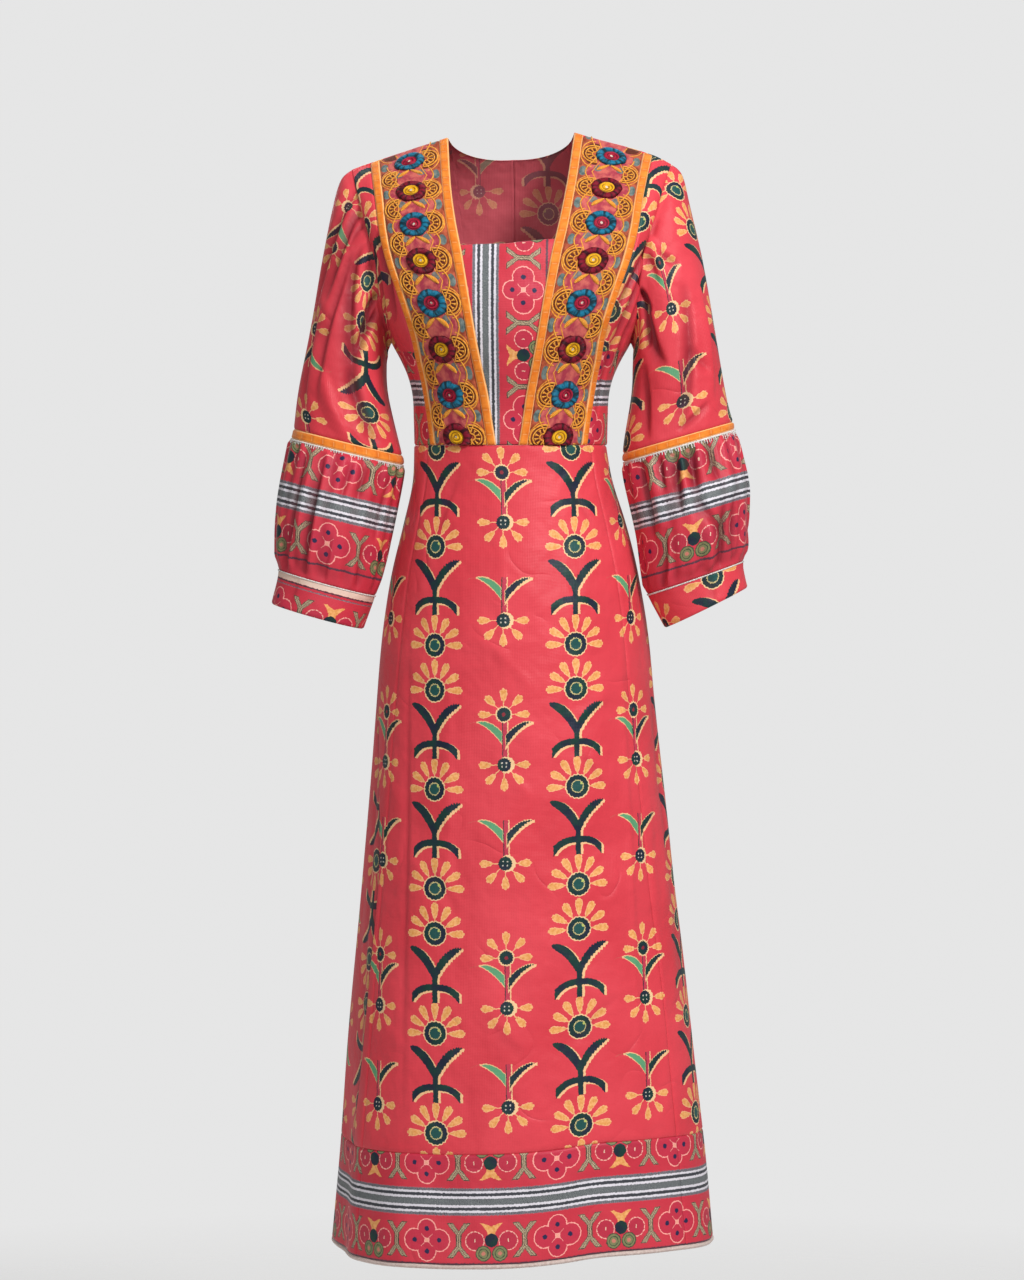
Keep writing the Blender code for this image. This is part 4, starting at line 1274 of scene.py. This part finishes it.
def make_bodice(border_cloth, mixed_cloth, embroidery, ribbon, silks, gold):
    """The inset, the back in two halves, and on each side the side front and the band with its ribbons and
    roses."""
    edge = math.pi / 2 - SIDE_GAP

    def piece(name, node, slot, angle, path, cloth, thickness, out, uv=None, with_pieces=(), creases=()):
        middle = bodice(angle, path)
        outward = normals(bodice, angle, path, 0.004, 0.012, low_b=0.0, high_b=2.0)
        u, v = lengths_along(middle, 0), lengths_along(middle, 1)
        flat = np.stack([u, v], axis=-1) if uv is None else uv(u, v, middle)
        cloth_piece(
            name, node, slot, "stretched", node, middle, outward, flat * MM, thickness, [cloth],
            out=out, folds=creased(u, v, creases), with_pieces=with_pieces,
        )

    def turned(u, v, middle):
        """The border print turned upright, its stripes INSET_STRIPES from the middle."""
        across = u - u[len(u) // 2]
        up = v - np.interp(INSET_MOTIF_Z, middle[len(u) // 2, :, 2], v[len(u) // 2])
        return np.stack([up, across - INSET_STRIPES], axis=-1)

    def raised(u, v, middle):
        """The border's stripes STRIPES_UP above the waist."""
        return np.stack([u, v - STRIPES_UP], axis=-1)

    def from_seam(u, v, middle):
        """The same, with the columns of both halves of the back counted from their seam."""
        first = np.abs(middle[0, 0, 0]) < np.abs(middle[-1, 0, 0])
        return np.stack([BACK_COLUMN + u - (0 if first else u[-1]), v - STRIPES_UP], axis=-1)

    share, row = grid(np.linspace(-1, 1, 81), seam_places(80, 0.01))
    lane = (INSET_TOP_LANE + INSET_TOP_SLANT * np.clip(share, 0, 1)) * row
    reach = band_angle(1, np.zeros_like(lane), lane) + INSET_TUCK
    ripple = softness(share * 60, row * 260, 0.8, 8) - INSET_SUNK
    piece(
        "inset_cloth", "inset_panel", COTTON, reach * share, lane, border_cloth, CLOTH, ripple, turned,
    )

    neck = math.radians(NECK_ANGLE)
    for word, side in SIDES:
        across = np.concatenate([np.linspace(0, neck, 24), np.linspace(neck, edge, 40)[1:]])
        angle, row = grid(across, seam_places(80, 0.007))
        scoop = np.sqrt(np.clip(1 - (angle / neck) ** 2, 0, 1))
        lane = (1 + SHOULDER_LAP - BACK_NECK_DROP * scoop) * row
        angle = side * angle
        if side > 0:
            angle, lane = angle[::-1], lane[::-1]
        piece(
            f"bodice_back_{word}_cloth", f"bodice_back_{word}", COTTON, angle, 2 - lane, mixed_cloth,
            CLOTH, softness(angle * 100, lane * 380, 0.7, 9), from_seam, creases=BACK_CREASES,
        )

    lanes = seam_places(130, 0.006)
    dense = np.linspace(-1, 8, 900)
    rose_lanes = along(ROSES, "place", "lane", dense)
    for word, side in SIDES:
        place, rose_step = band_placer(side)
        stitched = [
            joined(name, parts, silk)
            for name, parts, silk in (
                (f"teal_roses_{word}", [roses(place, rose_step, range(1, 8, 2), 3)], silks[0]),
                (f"maroon_roses_{word}", [roses(place, rose_step, range(0, 8, 2), 4)], silks[1]),
                (f"gold_outlines_{word}", gold_work(place, rose_step), gold),
            )
        ]
        for name, slot, low, high, count, cloth, out, sewn_on in (
            (
                f"embroidered_band_{word}", "embroidered_net", TRIM_SHARE, 1 - TRIM_SHARE, 36, embroidery,
                0.0, tuple(stitched),
            ),
            (f"neck_trim_{word}", "orange_ribbon", 0.0, TRIM_SHARE, 8, ribbon, 0.3, ()),
            (f"outer_trim_{word}", "orange_ribbon", 1 - TRIM_SHARE, 1.0, 8, ribbon, 0.3, ()),
        ):
            shares = low + (high - low) * np.linspace(0, 1, count + 1)
            share, lane = grid(shares if side > 0 else shares[::-1], lanes)

            def banded(u, v, middle):
                """Across from the middle, outwards, and up by roses or, on a ribbon, by length."""
                across = (share - (low + high) / 2) / (high - low)
                if cloth is ribbon:
                    return np.stack([across * 2 * RIBBON_HALF, v], axis=-1)
                up = np.interp(lane, rose_lanes, dense) * ROSE_STEP
                return np.stack([across * u.max(axis=0), up], axis=-1)

            piece(
                f"{name}_cloth", name, slot, band_angle(side, share, lane), lane, cloth, BAND_CLOTH, out,
                banded, sewn_on,
            )
        shares = seam_places(30, 0.02)
        share, lane = grid(shares if side > 0 else shares[::-1], lanes)
        start = np.abs(band_angle(side, np.ones_like(lane), lane)) + BESIDE_BAND
        angle = side * (start + (edge - start) * share)
        piece(
            f"side_front_{word}_cloth", f"side_front_{word}", COTTON, angle, lane, mixed_cloth,
            CLOTH, softness(share * 50, lane * 380, 0.5, 12), raised, creases=SIDE_FRONT_CREASES[word],
        )


def gathers(angle, ring):
    """Uneven gathers of 15 and 23 waves a turn, deepest just under the ribbon and above the cuff, and soft
    between them, round SOFT_RING."""
    full = np.clip((ring - GATHER_RING) / 0.6, 0, 1) * np.clip((CUFF_RING - ring) / 0.6, 0, 1)
    pulled = 0.4 + 0.6 * np.abs((ring - SOFT_RING) / 2.0)
    waves = np.cos(15 * angle + 0.9 * np.sin(2 * angle)) + 0.55 * np.cos(23 * angle + 1.3)
    return GATHER_HEIGHT * full * pulled * waves


def sleeve_placer(table, side, ring):
    """Puts x round a sleeve and y up it, near one ring, in space with the way out there."""
    turn = np.linspace(0, 2 * math.pi, 121)
    around = lengths_along(sleeve(table, side, turn, np.full_like(turn, ring)), 0)[-1]
    front = np.full(2, math.pi / 2)
    beside = sleeve(table, side, front, np.array([ring - 0.2, ring + 0.2]))
    step = np.linalg.norm(np.diff(beside, axis=0)) / 0.4

    def surface(a, b):
        return sleeve(table, side, a, b)

    def place(x, y):
        angle, at = math.pi + x * 2 * math.pi / around, ring - y / step
        outward = normals(surface, angle, at, 0.02, 0.05, low_b=0.0, high_b=float(LAST_RING))
        return surface(angle, at), side * outward

    return place, around


def edge_stitching(table, side, ring, drop, length, thickness):
    """A cord round a sleeve, drop below a ring, and short upright threads along it, uneven in length."""
    place, around = sleeve_placer(table, side, ring)
    x = np.linspace(0, around, 241)[None]
    beads = thickness * (1 + 0.25 * np.sin(x * 1.9))
    parts = [cords_on(place, x, np.full_like(x, -drop), beads, beads, lift=CLOTH / 2)]
    chance = np.random.default_rng(int(ring) + side)
    start = np.linspace(0, around, 131)[:-1, None] + chance.uniform(-0.5, 0.5, (130, 1))
    reach = length * chance.uniform(0.6, 1.1, (130, 1))
    share = np.array([[0.0, 0.5, 1.0]])
    parts.append(cords_on(
        place, start + share * chance.uniform(-0.6, 0.6, (130, 1)), -drop + 0.4 - share * reach, 0.6, 0.5,
        lift=CLOTH / 2 + 0.2,
    ))
    return parts


def make_sleeves(print_cloth, border_cloth, cuff_cloths, ribbon, cotton_thread):
    """Each sleeve's four tubes, one below the other, and its stitched edges. The seam is at the underarm."""
    for (word, side), table in zip(SIDES, (SLEEVE_LEFT, SLEEVE_RIGHT)):

        def surface(a, b):
            return sleeve(table, side, a, b)

        selvedge = joined(
            f"trim_selvedge_{word}", edge_stitching(table, side, GATHER_RING, 1.0, 4.6, 1.0), cotton_thread,
        )
        piping = joined(
            f"cuff_piping_{word}", edge_stitching(table, side, CUFF_RING, 0.4, 1.1, 0.8), cotton_thread,
        )
        sewn_on = {"sleeve_lower": (selvedge,), "cuff": (piping,)}
        for name, slot, first, last, rows, sides, thickness, cloth, held in (
            ("sleeve", COTTON, ARMHOLE_RING, TRIM_RING, 110, 160, CLOTH, print_cloth, "hung"),
            ("sleeve_trim", "orange_ribbon", TRIM_RING, GATHER_RING, 8, 160, FOLDED_CLOTH, ribbon, "hung"),
            ("sleeve_lower", COTTON, GATHER_RING, CUFF_RING, 64, 280, CLOTH, border_cloth, "gathered"),
            ("cuff", COTTON, CUFF_RING, LAST_RING, 24, 160, CLOTH, cuff_cloths[word], "hung"),
        ):
            turn = math.pi + np.linspace(0, 2 * math.pi, sides + 1)[:-1]
            turn = turn[::-1] if side > 0 else turn
            places = last + (first - last) * seam_places(rows, 0.02)
            angle, ring = grid(turn, places)
            outward = side * normals(surface, angle, ring, 0.02, 0.05, low_b=0.0, high_b=float(LAST_RING))
            middle = surface(angle, ring)
            pleats = gathers(angle, ring) if name == "sleeve_lower" else 0.0
            around = lengths_along(np.concatenate([middle, middle[:1]]), 0)
            down = lengths_along(middle, 1)
            front = np.argmin(np.abs(turn - 2.5 * math.pi))
            x = around - around[front]
            y = np.concatenate([down, down[:1]])
            fade = np.clip(np.minimum(down, down[:, -1:] - down) / 8, 0, 1)
            folds = creased(x[:-1], down, SLEEVE_CREASES[word].get(name, ())) * fade + pleats
            lift = softness(x[:-1], down, 0.6, 20) * fade
            if name == "sleeve":
                zero = np.interp(SLEEVE_PRINT_Z[word], middle[front, :, 2], down[front])
                y = (y - zero) * SLEEVE_TAKEN[word]
                x = x + SLEEVE_COLUMN[word] + SLEEVE_SLANT[word] * y
                if side < 0:
                    x, y = -x, -y
            elif name == "sleeve_trim":
                x, y = (y / y[:, -1:] - 0.5) * 2 * RIBBON_HALF, x
                lift = 0.3
            elif name == "sleeve_lower":
                x, y = x + LOWER_COLUMN[word], y - y[:, -1:] * LOWER_STRIPES
            else:
                x, y = x + CUFF_COLUMN[word], y - CUFF_BELOW[word]
            cloth_piece(
                f"{name}_{word}_cloth", f"{name}_{word}", slot, held, f"{name}_{word}", middle, outward,
                np.stack([x, y], axis=-1) * MM, thickness, [cloth], closed=True, out=lift, folds=folds,
                with_pieces=sewn_on.get(name, ()),
            )


def make_stage():
    """A pale floor that fades into a plain pale surround, soft studio lights, and the camera."""
    scene = bpy.context.scene
    scene.view_settings.view_transform = "Standard"
    world = bpy.data.worlds.new("studio")
    scene.world = world
    world.use_nodes = True
    tree = world.node_tree
    seen = node(tree, "ShaderNodeBackground", {0: (0.79, 0.79, 0.79, 1), 1: 1.0})
    lighting = node(tree, "ShaderNodeBackground", {0: (1.0, 0.98, 0.95, 1), 1: 0.3})
    from_camera = node(tree, "ShaderNodeLightPath").outputs["Is Camera Ray"]
    mixed = node(tree, "ShaderNodeMixShader", {0: from_camera, 1: lighting.outputs[0], 2: seen.outputs[0]})
    tree.links.new(mixed.outputs[0], tree.nodes["World Output"].inputs[0])

    corners = [(x * FLOOR_REACH, y * FLOOR_REACH, FLOOR_Z) for x, y in ((-1, -1), (1, -1), (1, 1), (-1, 1))]
    mesh = bpy.data.meshes.new("floor")
    mesh.from_pydata((np.array(corners) * MM).tolist(), [], [(0, 1, 2, 3)])
    floor = bpy.data.objects.new("floor", mesh)
    mesh.materials.append(floor_material("matt_painted_floor"))
    scene.collection.objects.link(floor)

    for name, place, aim, size, watts in (
        ("key", (2.0, -2.9, 2.0), (0, 0, -0.4), 0.9, 144),
        ("fill", (-1.0, -4.3, 0.2), (0, 0, -0.7), 2.4, 38),
        ("top", (0.3, -0.8, 2.6), (0, 0, -0.3), 2.0, 22),
        ("back", (-0.5, 3.2, 1.5), (0, 0, -0.5), 2.4, 60),
    ):
        lamp = bpy.data.lights.new(name, "AREA")
        lamp.size, lamp.energy = size, watts
        light = bpy.data.objects.new(name, lamp)
        light.location = place
        light.rotation_euler = (Vector(aim) - Vector(place)).to_track_quat("-Z", "Y").to_euler()
        scene.collection.objects.link(light)

    target = np.array(CAMERA_AIM)
    azimuth = math.radians(CAMERA_TURN)
    place = np.array([
        target[0] + CAMERA_DISTANCE * math.sin(azimuth), -CAMERA_DISTANCE * math.cos(azimuth), WAIST_Z
    ])
    lens = bpy.data.cameras.new("camera")
    lens.sensor_fit, lens.sensor_height, lens.lens = "VERTICAL", 36.0, CAMERA_LENS
    lens.clip_end = 60.0
    camera = bpy.data.objects.new("camera", lens)
    camera.location = tuple(place * MM)
    camera.rotation_euler = Vector((target - place).tolist()).to_track_quat("-Z", "Y").to_euler()
    scene.collection.objects.link(camera)
    scene.camera = camera


def floor_material(name):
    """Matt pale paint that fades out between 1.1 and 2.4 m from the middle, so that no horizon shows."""
    material = new_material(name)
    tree = material.node_tree
    shader = tree.nodes["Principled BSDF"]
    shader.inputs["Base Color"].default_value = linear("DEDEDE")
    shader.inputs["Roughness"].default_value = 0.9
    spot = node(tree, "ShaderNodeSeparateXYZ", {0: node(tree, "ShaderNodeTexCoord").outputs["Object"]})
    shown = worked_out(
        tree, "m = min(max((2.4 - sqrt(x * x + y * y)) / 1.3, 0), 1)", x=spot.outputs[0], y=spot.outputs[1],
    )["m"]
    tree.links.new(shown, shader.inputs["Alpha"])
    return material


def main():
    flowers = printed_cotton("printed_cotton_satin", "flowers")
    border = printed_cotton("border_printed_cotton_satin", "border", "C23041", "CE3C4B")
    turned = printed_cotton("printed_cotton_satin_joined_upside_down", "turned")
    mixed = printed_cotton("cotton_satin_cut_across_its_border", "both")
    selvedge = printed_cotton("cotton_satin_with_woven_cream_stripe", "selvedge", "C23041", "CE3C4B")
    net = embroidered_net("embroidered_net")
    teal = wound_silk("teal_and_crimson_silk_floss", "17789A", "08303E", "B41E3C", "46101F")
    maroon = wound_silk("maroon_and_yellow_silk_floss", "86102A", "380614", "F4B81C", "6E3A0C")
    gold = thread_material("couched_gold_thread", "E08A22", "F6B24A")
    orange = ribbon_material("orange_grosgrain", "DE7016", "F08E30", RIBBON_HALF)
    white = thread_material("white_cotton_thread", "D8D2CC", "F1EDE8")
    cream = thread_material("cream_cotton_binding", "CDB6AE", "DECCC4")
    make_skirt(flowers, turned, border, cream)
    make_bodice(border, mixed, net, orange, (teal, maroon), gold)
    make_sleeves(flowers, border, {"left": selvedge, "right": flowers}, orange, white)
    make_stage()


main()
